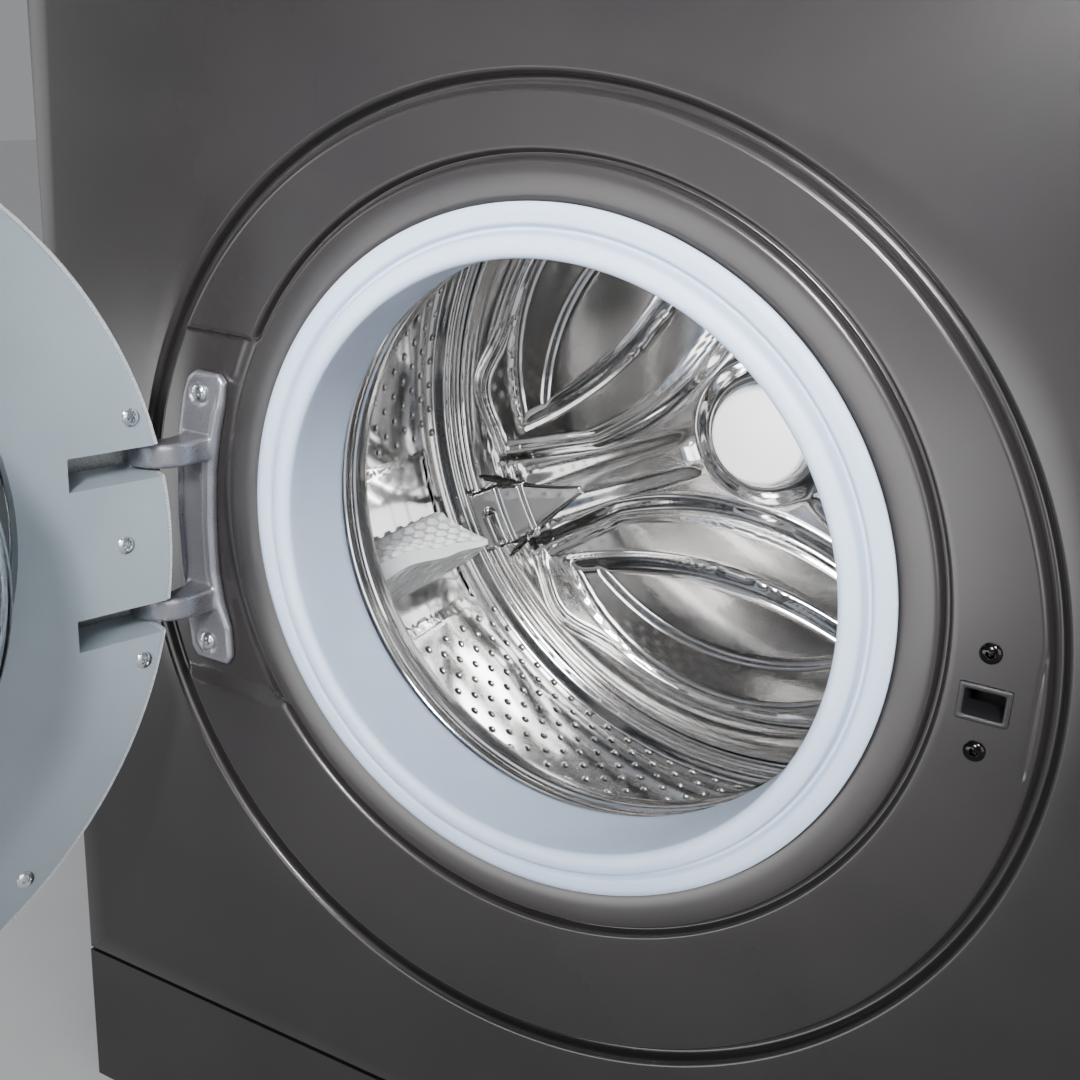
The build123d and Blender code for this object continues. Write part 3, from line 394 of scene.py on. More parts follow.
INNER_R, OUTER_R = 179.6, 228.3
RING_X, RING_Z = -3.9, -20.0
POCKET_TOP, POCKET_FOOT, POCKET_DEPTH = 81, -108, 4.5
panel_low, panel_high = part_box("front_panel")
PANEL_LEFT, PANEL_RIGHT = ((edge - PORT_X) / MM for edge in (panel_low[0], panel_high[0]))
PANEL_FOOT, PANEL_TOP = ((edge - PORT_Z) / MM for edge in (panel_low[2], panel_high[2]))
lock_low, lock_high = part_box("lock_bezel")
LOCK_X = ((lock_low[0] + lock_high[0]) / 2 - PORT_X) / MM
LOCK_Z = ((lock_low[2] + lock_high[2]) / 2 - PORT_Z) / MM
INNER_GROOVE = [(3.5, 0), (3.1, 0.07), (2.7, 0.28), (2.3, 0.65), (1.9, 1.2), (1.5, 2.1), (1.25, 3.4),
                (0.7, 4.8)]
OUTER_GROOVE = [(5.6, 0), (5.1, 0.08), (4.5, 0.35), (3.9, 0.85), (3.3, 1.6), (2.8, 2.6), (2.4, 4.0),
                (2.2, 5.6), (1.2, 6.8)]
SEAM_X, SEAM_TOP, SEAM_FOOT = 217.1, 15.5, -37


def in_pocket(x, z):
    """1 inside the hinge pocket's height, falling to 0 across its sloped ends."""
    if x > -60:
        return 0.0
    above_foot = smooth_step(z, POCKET_FOOT - 1.5, POCKET_FOOT + 2.5)
    return above_foot * (1 - smooth_step(z, POCKET_TOP - 2, POCKET_TOP + 1.2))


def seam_depth(x, z):
    """The fine line of the finger hold beside the lock."""
    along = smooth_step(z, SEAM_FOOT - 1, SEAM_FOOT + 3) * (1 - smooth_step(z, SEAM_TOP, SEAM_TOP + 1.5))
    line = 0.55 * math.exp(-((x - SEAM_X) / 0.75) ** 2) * along
    if x <= 100:
        return line
    tick = 0.6 * math.exp(-((z - SEAM_TOP) / 0.9) ** 2) * smooth_step(x, SEAM_X - 1, SEAM_X)
    return max(line, tick)


def panel_rings():
    """Rings of the panel from the porthole outwards: (kind, radius or share, depth)."""
    rings = [("port", 158.4, 15), ("port", 158.4, 5), ("port", 159.2, 3.6), ("port", 161, 2.4),
             ("port", 164, 1.5),
             ("port", 168, 0.8), ("port", 172, 0.25), ("port", 174.5, 0)]
    rings += [("inner", INNER_R - half, depth) for half, depth in INNER_GROOVE] + [("inner", INNER_R, 5.0)]
    rings += [("inner", INNER_R + half, depth) for half, depth in reversed(INNER_GROOVE)]
    rings += [("blend", share / 16, 0) for share in range(1, 16)]
    rings += [("outer", OUTER_R - 9.2 + 0.55 * step, 0) for step in range(7)]
    rings += [("outer", OUTER_R - half, depth) for half, depth in OUTER_GROOVE] + [("outer", OUTER_R, 7.0)]
    rings += [("outer", OUTER_R + half, depth) for half, depth in reversed(OUTER_GROOVE)]
    rings += [("edge", share / 9, 0) for share in range(1, 10)]
    return rings


def to_rectangle(aim):
    """Distance from the outer ring's middle to the panel's edge in a direction."""
    reach = []
    if abs(math.cos(aim)) > 1e-9:
        reach.append(((PANEL_RIGHT if math.cos(aim) > 0 else PANEL_LEFT) - RING_X) / math.cos(aim))
    if abs(math.sin(aim)) > 1e-9:
        reach.append(((PANEL_TOP if math.sin(aim) > 0 else PANEL_FOOT) - RING_Z) / math.sin(aim))
    return min(reach)


def front_panel():
    corners = [math.atan2(z - RING_Z, x - RING_X) % (2 * math.pi)
               for x in (PANEL_LEFT, PANEL_RIGHT) for z in (PANEL_FOOT, PANEL_TOP)]
    segments = 900
    aims = sorted([2 * math.pi * (i + 0.37) / segments for i in range(segments)] + corners)
    verts = []
    first_blend, last_blend = INNER_R + INNER_GROOVE[0][0], OUTER_R - 9.2
    for kind, size, depth in panel_rings():
        for aim in aims:
            c, s = math.cos(aim), math.sin(aim)
            ring_share = {"port": 0.0, "inner": 0.0, "outer": 1.0, "edge": 1.0, "blend": size}[kind]
            if kind == "edge":
                inset = 1.0
                full = to_rectangle(aim)
                radius = OUTER_R + OUTER_GROOVE[0][0] + (full - inset - OUTER_R - OUTER_GROOVE[0][0]) * size
            elif kind == "blend":
                radius = first_blend + (last_blend - first_blend) * size
            else:
                radius = size
            x, z = RING_X * ring_share + radius * c, RING_Z * ring_share + radius * s
            sunk = in_pocket(x, z)
            from_port, from_ring = math.hypot(x, z), math.hypot(x - RING_X, z - RING_Z)
            if kind == "inner":
                depth_here = depth * (1 - smooth_step(sunk, 0.0, 0.5))
            else:
                depth_here = depth
            if sunk and from_ring < OUTER_R:
                floor = POCKET_DEPTH * sunk * smooth_step(from_port, INNER_R - 3, INNER_R + 9)
                depth_here = max(depth_here, floor)
            if kind == "outer" and from_ring < OUTER_R - 3:
                depth_here += seam_depth(x, z)
            verts.append(place(x, depth_here, z))
    for inset, depth in ((0.3, 0.3), (0.0, 1.0), (0.0, 12.0), (1.2, 12.0), (1.2, 1.6)):
        for aim in aims:
            x, z = RING_X + to_rectangle(aim) * math.cos(aim), RING_Z + to_rectangle(aim) * math.sin(aim)
            x = min(max(x, PANEL_LEFT + inset), PANEL_RIGHT - inset)
            z = min(max(z, PANEL_FOOT + inset), PANEL_TOP - inset)
            verts.append(place(x, depth, z))
    return mesh_from("front_panel_sheet", verts, ring_faces(len(verts) // len(aims), len(aims)))


def box_mesh(name, low, high):
    verts = [place(x, d, z) for x in (low[0], high[0]) for d in (low[1], high[1]) for z in (low[2], high[2])]
    return mesh_from(name, verts,
                     [(0, 1, 3, 2), (4, 6, 7, 5), (0, 4, 5, 1), (2, 3, 7, 6), (0, 2, 6, 4), (1, 5, 7, 3)])


def applied(piece):
    """Bake a piece's modifiers into its mesh."""
    graph = bpy.context.evaluated_depsgraph_get()
    graph.update()
    done = bpy.data.meshes.new_from_object(piece.evaluated_get(graph))
    piece.modifiers.clear()
    piece.data = done
    return piece


def shape_with(piece, operation, tool_mesh):
    """Join or cut a piece with another mesh."""
    tool = link("shape_tool", tool_mesh)
    step = piece.modifiers.new("shape", "BOOLEAN")
    step.operation, step.object, step.solver = operation, tool, "EXACT"
    applied(piece)
    bpy.data.objects.remove(tool)
    return piece


panel_piece = finish_piece("front_panel_sheet", front_panel(), graphite, "cabinet", ["front_panel"],
                           angle=50)
panel_skin = panel_piece.modifiers.new("sheet", "SOLIDIFY")
panel_skin.thickness = 0.0006
panel_skin.offset = -1
applied(panel_piece)
shape_with(panel_piece, "DIFFERENCE",
           box_mesh("lock_cut", (LOCK_X - 9.2, -4, LOCK_Z - 7), (LOCK_X + 9.2, 12, LOCK_Z + 7)))
panel_piece.data.set_sharp_from_angle(angle=math.radians(50))

# Lock bezel: a bevelled frame round a deep slot with a sloped lower lip
BEZEL = [(10.4, 8.1, 0.2), (10.2, 7.9, -0.9), (9.6, 7.3, -1.3), (8.6, 6.3, -1.3), (8.0, 5.7, -0.9),
         (7.6, 5.0, 1.6), (7.4, 4.8, 13), (9.0, 6.8, 13), (9.0, 6.8, 0.2)]


def rounded_rectangle(half_x, half_z, radius, steps=5):
    points = []
    for sx, sz, start in ((1, 1, 0), (-1, 1, 90), (-1, -1, 180), (1, -1, 270)):
        for step in range(steps + 1):
            turn = math.radians(start + 90 * step / steps)
            points.append((sx * (half_x - radius) + radius * math.cos(turn),
                           sz * (half_z - radius) + radius * math.sin(turn)))
    return points


def ring_stack(name, rings, x, z, radius=1.0):
    """A loft of rounded rectangles (half width, half height, depth) about a point on the front."""
    verts = []
    loops = [rounded_rectangle(w, h, min(radius, w * 0.4, h * 0.4)) for w, h, _ in rings]
    for loop, (_, _, depth) in zip(loops, rings):
        verts.extend(place(x + px, depth, z + pz) for px, pz in loop)
    return mesh_from(name, verts, ring_faces(len(rings), len(loops[0]), looped=True))


finish_piece("lock_bezel_frame", ring_stack("lock_bezel_frame", BEZEL, LOCK_X, LOCK_Z), black_plastic,
             "cabinet", ["lock_bezel"], angle=40)

# ------------------------------------------------------------------ screws


def screw_head(name, at, outward, up, radius=4.5, height=1.7, cross=2.9, spin=20):
    """A domed cross-recess screw head, as a round height field closed underneath. Sizes in millimetres."""
    outward, up = outward.normalized(), up.normalized()
    side = up.cross(outward)
    rings, segments, skirt = 22, 72, 1.2
    verts, faces = [at + outward * (height - 1.5) * MM], []
    for ring in range(1, rings + 1):
        r = radius * ring / rings
        for turn in range(segments):
            aim = 2 * math.pi * turn / segments
            lift = height * math.sqrt(max(0.0, 1 - (r / (radius * 1.04)) ** 2.4))
            spun = aim + math.radians(spin)
            u, v = abs(r * math.cos(spun)), abs(r * math.sin(spun))
            arm = 0.62 - min(u, v) if max(u, v) < cross else -1
            reach = cross - max(u, v)
            lift -= 1.5 * smooth_step(arm, -0.12, 0.12) * smooth_step(reach, 0, 0.9)
            verts.append(at + (side * r * math.cos(aim) + up * r * math.sin(aim) + outward * lift) * MM)
    for turn in range(segments):
        aim = 2 * math.pi * turn / segments
        around = side * radius * math.cos(aim) + up * radius * math.sin(aim)
        verts.append(at + (around - outward * skirt) * MM)
    verts.append(at - outward * skirt * MM)
    for turn in range(segments):
        ahead = (turn + 1) % segments
        faces.append((0, 1 + turn, 1 + ahead))
        for ring in range(rings):
            a, b = 1 + ring * segments, 1 + (ring + 1) * segments
            faces.append((a + turn, b + turn, b + ahead, a + ahead))
        faces.append((1 + rings * segments + turn, len(verts) - 1, 1 + rings * segments + ahead))
    return mesh_from(name, verts, faces)


FRONT_OUT, UP = Vector((0, -1, 0)), Vector((0, 0, 1))
HINGE_SCREWS = [(-197.5, 49), (-197, -86)]
LOCK_SCREWS = [(LOCK_X - 0.7, LOCK_Z + 21.5), (LOCK_X - 0.5, LOCK_Z - 20.5)]
for index, (x, z) in enumerate(HINGE_SCREWS):
    finish_piece(f"hinge_screw_{index}",
                 screw_head(f"hinge_screw_{index}", place(x, 1.2, z), FRONT_OUT, UP, height=2.2),
                 bright_screw, "cabinet", [], angle=35)
for index, (x, z) in enumerate(LOCK_SCREWS):
    finish_piece(f"lock_screw_{index}",
                 screw_head(f"lock_screw_{index}", place(x, 0.1, z), FRONT_OUT, UP, radius=4.4,
                            height=2.0, cross=1.9, spin=8 + 30 * index),
                 dark_screw, "cabinet", ["panel_screws"] if index == 0 else [], angle=35)

DOOR_ACROSS = Vector((math.cos(OPEN_ANGLE), -math.sin(OPEN_ANGLE), 0))
DOOR_INSIDE = Vector((math.sin(OPEN_ANGLE), math.cos(OPEN_ANGLE), 0))
HINGE_ACROSS, PIN_LIFT = (HINGE.x - PORT_X) / MM, 24.0
DOOR_PLANE = HINGE + DOOR_INSIDE * PIN_LIFT * MM
DOOR_SCREWS = [(-208.4, 45), (-202.8, -18.5), (-209.3, -81.6)]
DOOR_SCREWS += [(RING_X + 212 * math.cos(math.radians(a)), RING_Z + 212 * math.sin(math.radians(a)))
                for a in range(-130, 131, 52)]


def on_door(x, z, inward=0.0):
    """A point on the door as it stands open, in millimetres from the porthole's middle when shut."""
    return (DOOR_PLANE + DOOR_ACROSS * (x - HINGE_ACROSS) * MM + UP * (PORT_Z + z * MM - HINGE.z)
            + DOOR_INSIDE * inward * MM)


for index, (x, z) in enumerate(DOOR_SCREWS):
    finish_piece(f"door_screw_{index}",
                 screw_head(f"door_screw_{index}", on_door(x, z), DOOR_INSIDE, UP, height=1.6,
                            cross=2.2, spin=25 * index),
                 bright_screw, "door", ["door_screws"] if index == 0 else [], angle=35)

# ------------------------------------------------------------------ hinge bracket

PLATE_BACK = 4.4


def read(points, value):
    """Straight-line reading of (value, result) points."""
    for (low, start), (high, end) in zip(points, points[1:]):
        if value <= high:
            return start + (end - start) * (value - low) / (high - low)
    return points[-1][1]


def bracket_plate():
    """The bracket's plate: pads at both ends, a waist between, and a bead along its right edge."""
    left = [(-97, -204), (-92, -208), (-60, -213), (-20, -215.5), (20, -214), (45, -209), (56, -205),
            (60, -200)]
    right_edge = [(-97, -184), (-92, -180.8), (-76, -182), (-62, -186.5), (-45, -189.5), (-18, -190.5),
                  (8, -189.5), (30, -186), (44, -182.5), (56, -181), (60, -185)]
    rows, columns = 110, 34
    front, back, faces = [], [], []
    for row in range(rows + 1):
        z = -97 + 157 * row / rows
        x_left, x_right = read(left, z), read(right_edge, z)
        for column in range(columns + 1):
            s = column / columns
            x = x_left + (x_right - x_left) * s
            inset = min(x - x_left, x_right - x, z + 97, 60 - z)
            depth = 0.4
            along = smooth_step(z, -80, -62) * (1 - smooth_step(z, 40, 52))
            bead = math.exp(-((x_right - x - 2.6) / 1.7) ** 2) * along
            depth -= 1.7 * bead
            waist = smooth_step(z, -62, -46) * (1 - smooth_step(z, 6, 22))
            depth += 1.6 * waist * smooth_step(x_right - x, 4, 9) * smooth_step(x - x_left, 1, 4)
            for sx, sz in HINGE_SCREWS:
                depth += 1.4 * (1 - smooth_step(math.hypot(x - sx, z - sz), 5.6, 6.6))
            depth += 1.3 * (1 - smooth_step(inset, 0, 1.4))
            front.append(place(x, depth, z))
            back.append(place(x, PLATE_BACK, z))
    width, total = columns + 1, len(front)
    for row in range(rows):
        for column in range(columns):
            a = row * width + column
            faces.append((a, a + 1, a + width + 1, a + width))
            faces.append((total + a, total + a + width, total + a + width + 1, total + a + 1))
    edge = [c for c in range(width)] + [r * width + columns for r in range(1, rows + 1)]
    edge += [rows * width + c for c in range(columns - 1, -1, -1)]
    edge += [r * width for r in range(rows - 1, 0, -1)]
    for here, ahead in zip(edge, edge[1:] + edge[:1]):
        faces.append((here, ahead, total + ahead, total + here))
    return mesh_from("hinge_plate", front + back, faces)


def smooth_loop(points, steps=6):
    """A closed Catmull-Rom curve through points in a plane."""
    result = []
    for index in range(len(points)):
        p0, p1, p2, p3 = (Vector(points[(index + shift) % len(points)]) for shift in (-1, 0, 1, 2))
        for step in range(steps):
            t = step / steps
            result.append(0.5 * ((2 * p1) + (p2 - p0) * t + (2 * p0 - 5 * p1 + 4 * p2 - p3) * t ** 2
                                 + (3 * p1 - p0 - 3 * p2 + p3) * t ** 3))
    return result


ARM_PLAN = [(-190, 3.6), (-190.6, -6), (-192, -15), (-196, -23.5), (-202.5, -29.2), (-211, -32),
            (-218, -31.6), (-222.3, -28.2), (-222.3, -23.8), (-217.5, -20.9), (-211.5, -21.4),
            (-206.2, -17.5), (-205, -8), (-206, 3.6)]


def hinge_arm(height):
    plan = smooth_loop(ARM_PLAN)
    middle = Vector((sum(p.x for p in plan), sum(p.y for p in plan))) / len(plan)
    verts = []
    layers = [(-6.3, 1.8), (-5.9, 0.8), (-4.9, 0.15), (-3.6, 0), (3.6, 0), (4.9, 0.15), (5.9, 0.8),
              (6.3, 1.8)]
    for rise, inset in layers:
        for index, point in enumerate(plan):
            ahead, before = plan[(index + 1) % len(plan)], plan[index - 1]
            along = (ahead - before).normalized()
            inward = Vector((-along.y, along.x))
            if inward.dot(middle - point) < 0:
                inward.negate()
            spot = point + inward * inset
            verts.append(place(spot.x, spot.y, height + rise))
    foot, top = end_caps(len(layers), len(plan))
    return mesh_from("hinge_arm", verts, ring_faces(len(layers), len(plan)) + [foot, tuple(reversed(top))])


bracket = finish_piece("hinge_casting", bracket_plate(), casting, "cabinet", ["hinge_bracket"])
for height in (21.3, -60.5):
    shape_with(bracket, "UNION", hinge_arm(height))
melt = bracket.modifiers.new("melt", "REMESH")
melt.mode, melt.voxel_size, melt.use_smooth_shade = "VOXEL", 0.00075, True
soften = bracket.modifiers.new("soften", "SMOOTH")
soften.factor, soften.iterations = 0.5, 5
applied(bracket)

# ------------------------------------------------------------------ gasket

gasket_mesh = lathe("gasket_rubber", [
    (161, 1.9, 0.5), (161, 0.4, 1.2), (158, -1.4, 1.5), (152.2, -1.4, 1.5), (150.6, 1.6, 0.5),
    (149.2, 1.6, 0.5),
    (147.8, -4.4, 1.6), (144, -6, 2), (140.5, -6, 2), (137.8, -3.6, 2), (138, 6, 3), (140, 42, 3),
    (143, 47, 2),
    (153, 47, 2), (156, 43, 2), (157, 22, 1), (160, 20, 1), (165.4, 34, 2), (165.4, 56, 1), (169.4, 56, 1),
    (169.4, 32, 3), (162, 16.2, 1), (155, 16.2, 1), (152.5, 41, 2), (145, 43, 1), (143.5, 40, 1),
    (142, 8, 1),
    (157.8, 8, 0.5), (157.8, 3.9)], segments=360)
finish_piece("gasket_sleeve", gasket_mesh, gasket_rubber,
             ("cabinet", "tub", place(0, 12, 0), place(0, 33, 0)), ["gasket"], angle=60)

# ------------------------------------------------------------------ springs and sump hose


def coil_spring(name, x, y, low, high, coil, wire, turns):
    """A helical spring standing on end, closed at its tips. Sizes in metres."""
    along, around = int(turns * 28), 10
    verts = []
    for step in range(along + 1):
        aim = 2 * math.pi * turns * step / along
        centre = Vector((x + coil * math.cos(aim), y + coil * math.sin(aim),
                         low + wire + (high - low - 2 * wire) * step / along))
        outward = Vector((math.cos(aim), math.sin(aim), 0))
        for spoke in range(around):
            turn = 2 * math.pi * spoke / around
            verts.append(centre + (outward * math.cos(turn) + UP * math.sin(turn)) * wire)
    return mesh_from(name, verts, ring_faces(along + 1, around) + end_caps(along + 1, around))


spring_low, spring_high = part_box("suspension_springs")
SPRING_COIL, SPRING_WIRE = 10.4 * MM, 1.6 * MM
for side, edge, inward in (("left", spring_low[0], 1), ("right", spring_high[0], -1)):
    x, y = edge + inward * 12 * MM, (spring_low[1] + spring_high[1]) / 2
    finish_piece(f"spring_{side}",
                 coil_spring(f"spring_{side}", x, y, spring_low[2], spring_high[2], SPRING_COIL,
                             SPRING_WIRE, 11),
                 ground_steel, ("tub", "cabinet", (x, y, spring_low[2]), (x, y, spring_high[2])),
                 ["suspension_springs"] if side == "left" else [])


def bellows(name, x, y, low, high, outer, inner, folds):
    """A corrugated rubber tube standing on end. Sizes in metres."""
    steps, around = folds * 8, 64
    section = [(outer - 1.6 * MM * (0.5 - 0.5 * math.cos(2 * math.pi * folds * step / steps)),
                low + (high - low) * step / steps) for step in range(steps + 1)]
    section += [(inner, high), (inner, low)]
    aims = [2 * math.pi * turn / around for turn in range(around)]
    verts = [(x + r * math.cos(aim), y + r * math.sin(aim), z) for r, z in section for aim in aims]
    return mesh_from(name, verts, ring_faces(len(section), around, looped=True))


hose_low, hose_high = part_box("sump_hose")
hose_x, hose_y = (hose_low[0] + hose_high[0]) / 2, (hose_low[1] + hose_high[1]) / 2
finish_piece("sump_bellows",
             bellows("sump_bellows", hose_x, hose_y, hose_low[2], hose_high[2], 16 * MM, 13.2 * MM, 9),
             belt_rubber, ("cabinet", "tub", (hose_x, hose_y, hose_low[2]), (hose_x, hose_y, hose_high[2])),
             ["sump_hose"], angle=50)

# ------------------------------------------------------------------ door window and bowl


def door_lathe(name, points, x=0.0, z=0.0, segments=240):
    """A turned piece of the door from (radius, inward) points, both in millimetres."""
    section = rounded(points)
    verts = []
    for radius, inward in section:
        for turn in range(segments):
            aim = 2 * math.pi * turn / segments
            verts.append(on_door(x + radius * math.cos(aim), z + radius * math.sin(aim), inward))
    count = len(section)
    return mesh_from(name, verts, ring_faces(count, segments) + end_caps(count, segments))


finish_piece("window_dome", door_lathe("window_dome", [
    (3, -49), (45, -48.75), (90, -48), (130, -46.3), (166.5, -44, 1), (166.5, -41, 1), (130, -43.3),
    (90, -45),
    (45, -45.75), (3, -46)], RING_X, RING_Z), tint, "door", ["door_window"], angle=50)
finish_piece("glass_bowl", door_lathe("glass_bowl", [
    (3, 70), (60, 69.4), (110, 67, 8), (121, 61, 6), (125, 52, 8), (131, 0, 3), (134, -5, 2), (149.5, -5, 1),
    (149.5, -10, 1), (130, -10, 3), (126, -5, 4), (120, 50, 8), (116, 57, 6), (108, 62.5, 6), (60, 64.9),
    (3, 65.5)]), clear_glass, "door", ["door_glass"], angle=50)

# ------------------------------------------------------------------ drum

DRUM_R, WALL_FRONT, LAST_HOLES = 241.2, 98.0, 280.0
LIFTER_ANGLES = (205, 325, 85)
HOLE_STEP, COLUMN_STEP, HOLE_SHIFT = 4.0, 10.7, 0.4
COLUMNS = 17
BARE_HALF = 14.5
FUNNEL_R, HOLE_R, FUNNEL_DEPTH = 2.7, 1.3, 1.3


def from_lifter(angle):
    """Signed degrees from the nearest lifter."""
    return min(((angle - lifter + 180) % 360 - 180 for lifter in LIFTER_ANGLES), key=abs)


def on_wall(angle, depth, out=0.0):
    turn = math.radians(angle)
    return place((DRUM_R + out) * math.cos(turn), depth, (DRUM_R + out) * math.sin(turn))


def wall_step(angle, depth):
    """How far the wall steps out in the plain strip that each lifter stands on."""
    return 1.1 * (1 - smooth_step(abs(from_lifter(angle)), 12.8, 13.6)) * (1 - smooth_step(depth, 262, 272))


CELL_SIDES = [(-1, -1), (-0.5, -1), (0, -1), (0.5, -1), (1, -1), (1, -0.5), (1, 0), (1, 0.5),
              (1, 1), (0.5, 1), (0, 1), (-0.5, 1), (-1, 1), (-1, 0.5), (-1, 0), (-1, -0.5)]


def drum_wall():
    """The drum's wall: staggered columns of cells, each with a funnelled hole except beside the lifters."""
    verts, faces = [], []
    degree = math.degrees(1 / DRUM_R)
    front_strip = LAST_HOLES - (COLUMNS - 0.5) * COLUMN_STEP
    for column in range(-1, COLUMNS):
        half_depth = COLUMN_STEP / 2 if column >= 0 else (front_strip - WALL_FRONT) / 2
        if column >= 0:
            middle = LAST_HOLES - (COLUMNS - 1 - column) * COLUMN_STEP
        else:
            middle = (front_strip + WALL_FRONT) / 2
        for cell in range(int(360 / HOLE_STEP)):
            stagger = 0 if column % 2 == 0 else HOLE_STEP / 2
            angle = LIFTER_ANGLES[0] + HOLE_SHIFT + cell * HOLE_STEP + stagger
            base = len(verts)
            plain = abs(from_lifter(angle)) < BARE_HALF or column < 0
            square = [(angle + u * HOLE_STEP / 2, middle + v * half_depth) for u, v in CELL_SIDES]
            verts.extend(on_wall(a, d, wall_step(a, d)) for a, d in square)
            ring = range(16)
            if plain:
                for row, (u, v) in enumerate(CELL_SIDES):
                    a, d = angle + u * HOLE_STEP / 4, middle + v * half_depth / 2
                    verts.append(on_wall(a, d, wall_step(a, d)))
                for i in ring:
                    j = (i + 1) % 16
                    faces.append((base + i, base + j, base + 16 + j, base + 16 + i))
                verts.append(on_wall(angle, middle, wall_step(angle, middle)))
                faces.extend((base + 16 + i, base + 16 + (i + 1) % 16, base + 32) for i in ring)
                continue
            for radius, out in ((FUNNEL_R + 0.9, 0.0), (FUNNEL_R + 0.5, 0.04), (FUNNEL_R, 0.3),
                                (HOLE_R, FUNNEL_DEPTH)):
                for u, v in CELL_SIDES:
                    heading = math.atan2(v, u)
                    verts.append(on_wall(angle + radius * math.cos(heading) * degree,
                                         middle + radius * math.sin(heading), out))
            for level in (0, 16, 32, 48):
                for i in ring:
                    j = (i + 1) % 16
                    faces.append((base + level + i, base + level + j, base + level + 16 + j,
                                  base + level + 16 + i))
    return mesh_from("drum_wall", verts, faces, merge=2e-5)


drum_wall_piece = finish_piece("drum_wall", drum_wall(), polished, "drum", ["drum_shell"],
                               angle=60)
thicken = drum_wall_piece.modifiers.new("sheet", "SOLIDIFY")
thicken.thickness = 0.0006
thicken.offset = 0
applied(drum_wall_piece)
wall_mesh = drum_wall_piece.data
wall_normals = []
for vert in wall_mesh.vertices:
    from_axis = Vector((vert.co.x - PORT_X, 0, vert.co.z - PORT_Z))
    out = from_axis.length / MM - DRUM_R
    if abs(abs(out) - 0.3) < 0.06 and vert.normal.dot(from_axis.normalized()) ** 2 > 0.8:
        wall_normals.append(from_axis.normalized() * (1 if out > 0 else -1))
    else:
        wall_normals.append(vert.normal.copy())
wall_mesh.normals_split_custom_set_from_vertices(wall_normals)

rim_mesh = lathe("drum_rim", [
    (147.6, 62, 0.8), (146.2, 59.6, 2.6), (146.2, 53.6, 3.4), (153, 53.6, 3.4), (153, 60.4, 3),
    (150.4, 63, 2),
    (150, 70.5, 2), (153.5, 75, 2), (170, 77, 4), (176, 80, 3), (228, 85, 5),
    (238, 90, 4), (DRUM_R + 0.3, 98), (DRUM_R - 0.3, 98), (236.5, 91.6, 4), (227.6, 86.6, 5), (175, 81.6, 3),
    (169, 78.5, 3), (153, 76.8, 2), (148.2, 76.4, 3), (145.8, 73, 2.4), (145.8, 64.2, 2.4)], segments=360)
finish_piece("drum_rim", rim_mesh, polished, "drum", [], angle=60)

# Back of the drum: between each two arms a lobe with a second contour and a curved crease inside it
BACK_DEPTH = 301.0
LOBE_RISE, PANEL_RISE, FACET_RISE = 9.0, 3.5, 2.6


def back_depth(radius, angle):
    """How far back the drum's back lies at a place on it, in millimetres."""
    offset = (angle - (LIFTER_ANGLES[0] + 60) + 60) % 120 - 60
    along = radius * math.cos(math.radians(offset))
    across = radius * math.sin(math.radians(offset))
    depth = BACK_DEPTH - 3.5 * smooth_step(radius, 204, 226)
    # the lobe: bounded by the rim outside, a curve past the hub inside, and blunt beside the fixing blocks
    rim_side = 203 + 13 * math.exp(-((abs(offset) - 36) / 8) ** 2)
    inside = min(rim_side - radius, 0.95 * (along - 50 - 0.0027 * across ** 2),
                 math.radians(52 - abs(offset)) * radius)
    depth -= LOBE_RISE * smooth_step(inside, 0, 11)
    depth += 1.4 * math.exp(-((inside - 13) / 1.6) ** 2)
    # the panel inside it, with a crease round it
    panel = min(191 - 0.009 * offset ** 2 - radius, 0.97 * (along - 97 - 0.002 * across ** 2),
                0.8 * math.radians(45 - abs(offset)) * radius)
    depth -= PANEL_RISE * smooth_step(panel, 0, 9) - 2.2 * math.exp(-(panel / 1.5) ** 2)
    # and a facet bounded by an arc about the drum's axis
    facet = 153 - radius
    depth -= FACET_RISE * smooth_step(facet, -3, 4) * smooth_step(panel, 1, 8)
    # arms between the lobes, rising to the hub
    arm = abs(from_lifter(angle))
    half = math.radians(min(arm, 60)) * radius
    between = smooth_step(radius, 36, 60)
    depth -= 4.5 * (1 - smooth_step(half, 4, 20)) * between * (1 - smooth_step(radius, 196, 216))
    depth -= 13 * (1 - smooth_step(radius, 33, 50))
    # creased sheet beside the blocks
    crumple = math.exp(-((arm - 9) / 5) ** 2) * math.exp(-((radius - 196) / 16) ** 2)
    creases = 0.7 * math.sin(radius * 0.62 + offset * 0.45) + 0.35 * math.sin(radius * 1.3 - offset * 0.8)
    depth += crumple * creases
    # ribs round the rim, the seam, and the turn into the wall
    depth -= 0.9 * math.exp(-((radius - 221.5) / 3.4) ** 2)
    depth += 4.5 * math.exp(-((radius - 227.6) / 1.1) ** 2)
    depth -= 6.5 * smooth_step(radius, 228.5, 231.5) + 8 * smooth_step(radius, 234.5, 241)
    return depth


def drum_back():
    radii = [28 + 2.5 * i for i in range(64)] + [187 + 1.5 * i for i in range(21)]
    radii += [217.7 + 0.72 * i for i in range(33)]
    segments = 540
    verts = []
    for radius in radii:
        for turn in range(segments):
            angle = 360 * turn / segments
            aim = math.radians(angle)
            verts.append(place(radius * math.cos(aim), back_depth(radius, angle), radius * math.sin(aim)))
    return mesh_from("drum_back", verts, ring_faces(len(radii), segments))


back_piece = finish_piece("drum_back_pressing", drum_back(), polished, "drum", ["drum_back"],
                          angle=75)
back_sheet = back_piece.modifiers.new("sheet", "SOLIDIFY")
back_sheet.thickness = 0.0008
back_sheet.offset = 0

hub_mesh = lathe("hub_cap", [(0.01, 280.6), (29.5, 281, 2), (31.3, 283.5, 1), (31.8, 292), (35, 292.5, 1),
                             (35, 297), (0.01, 297)],
                 segments=128)
finish_piece("hub_disc", hub_mesh, hub_satin, "drum", ["hub_cap"], angle=50)

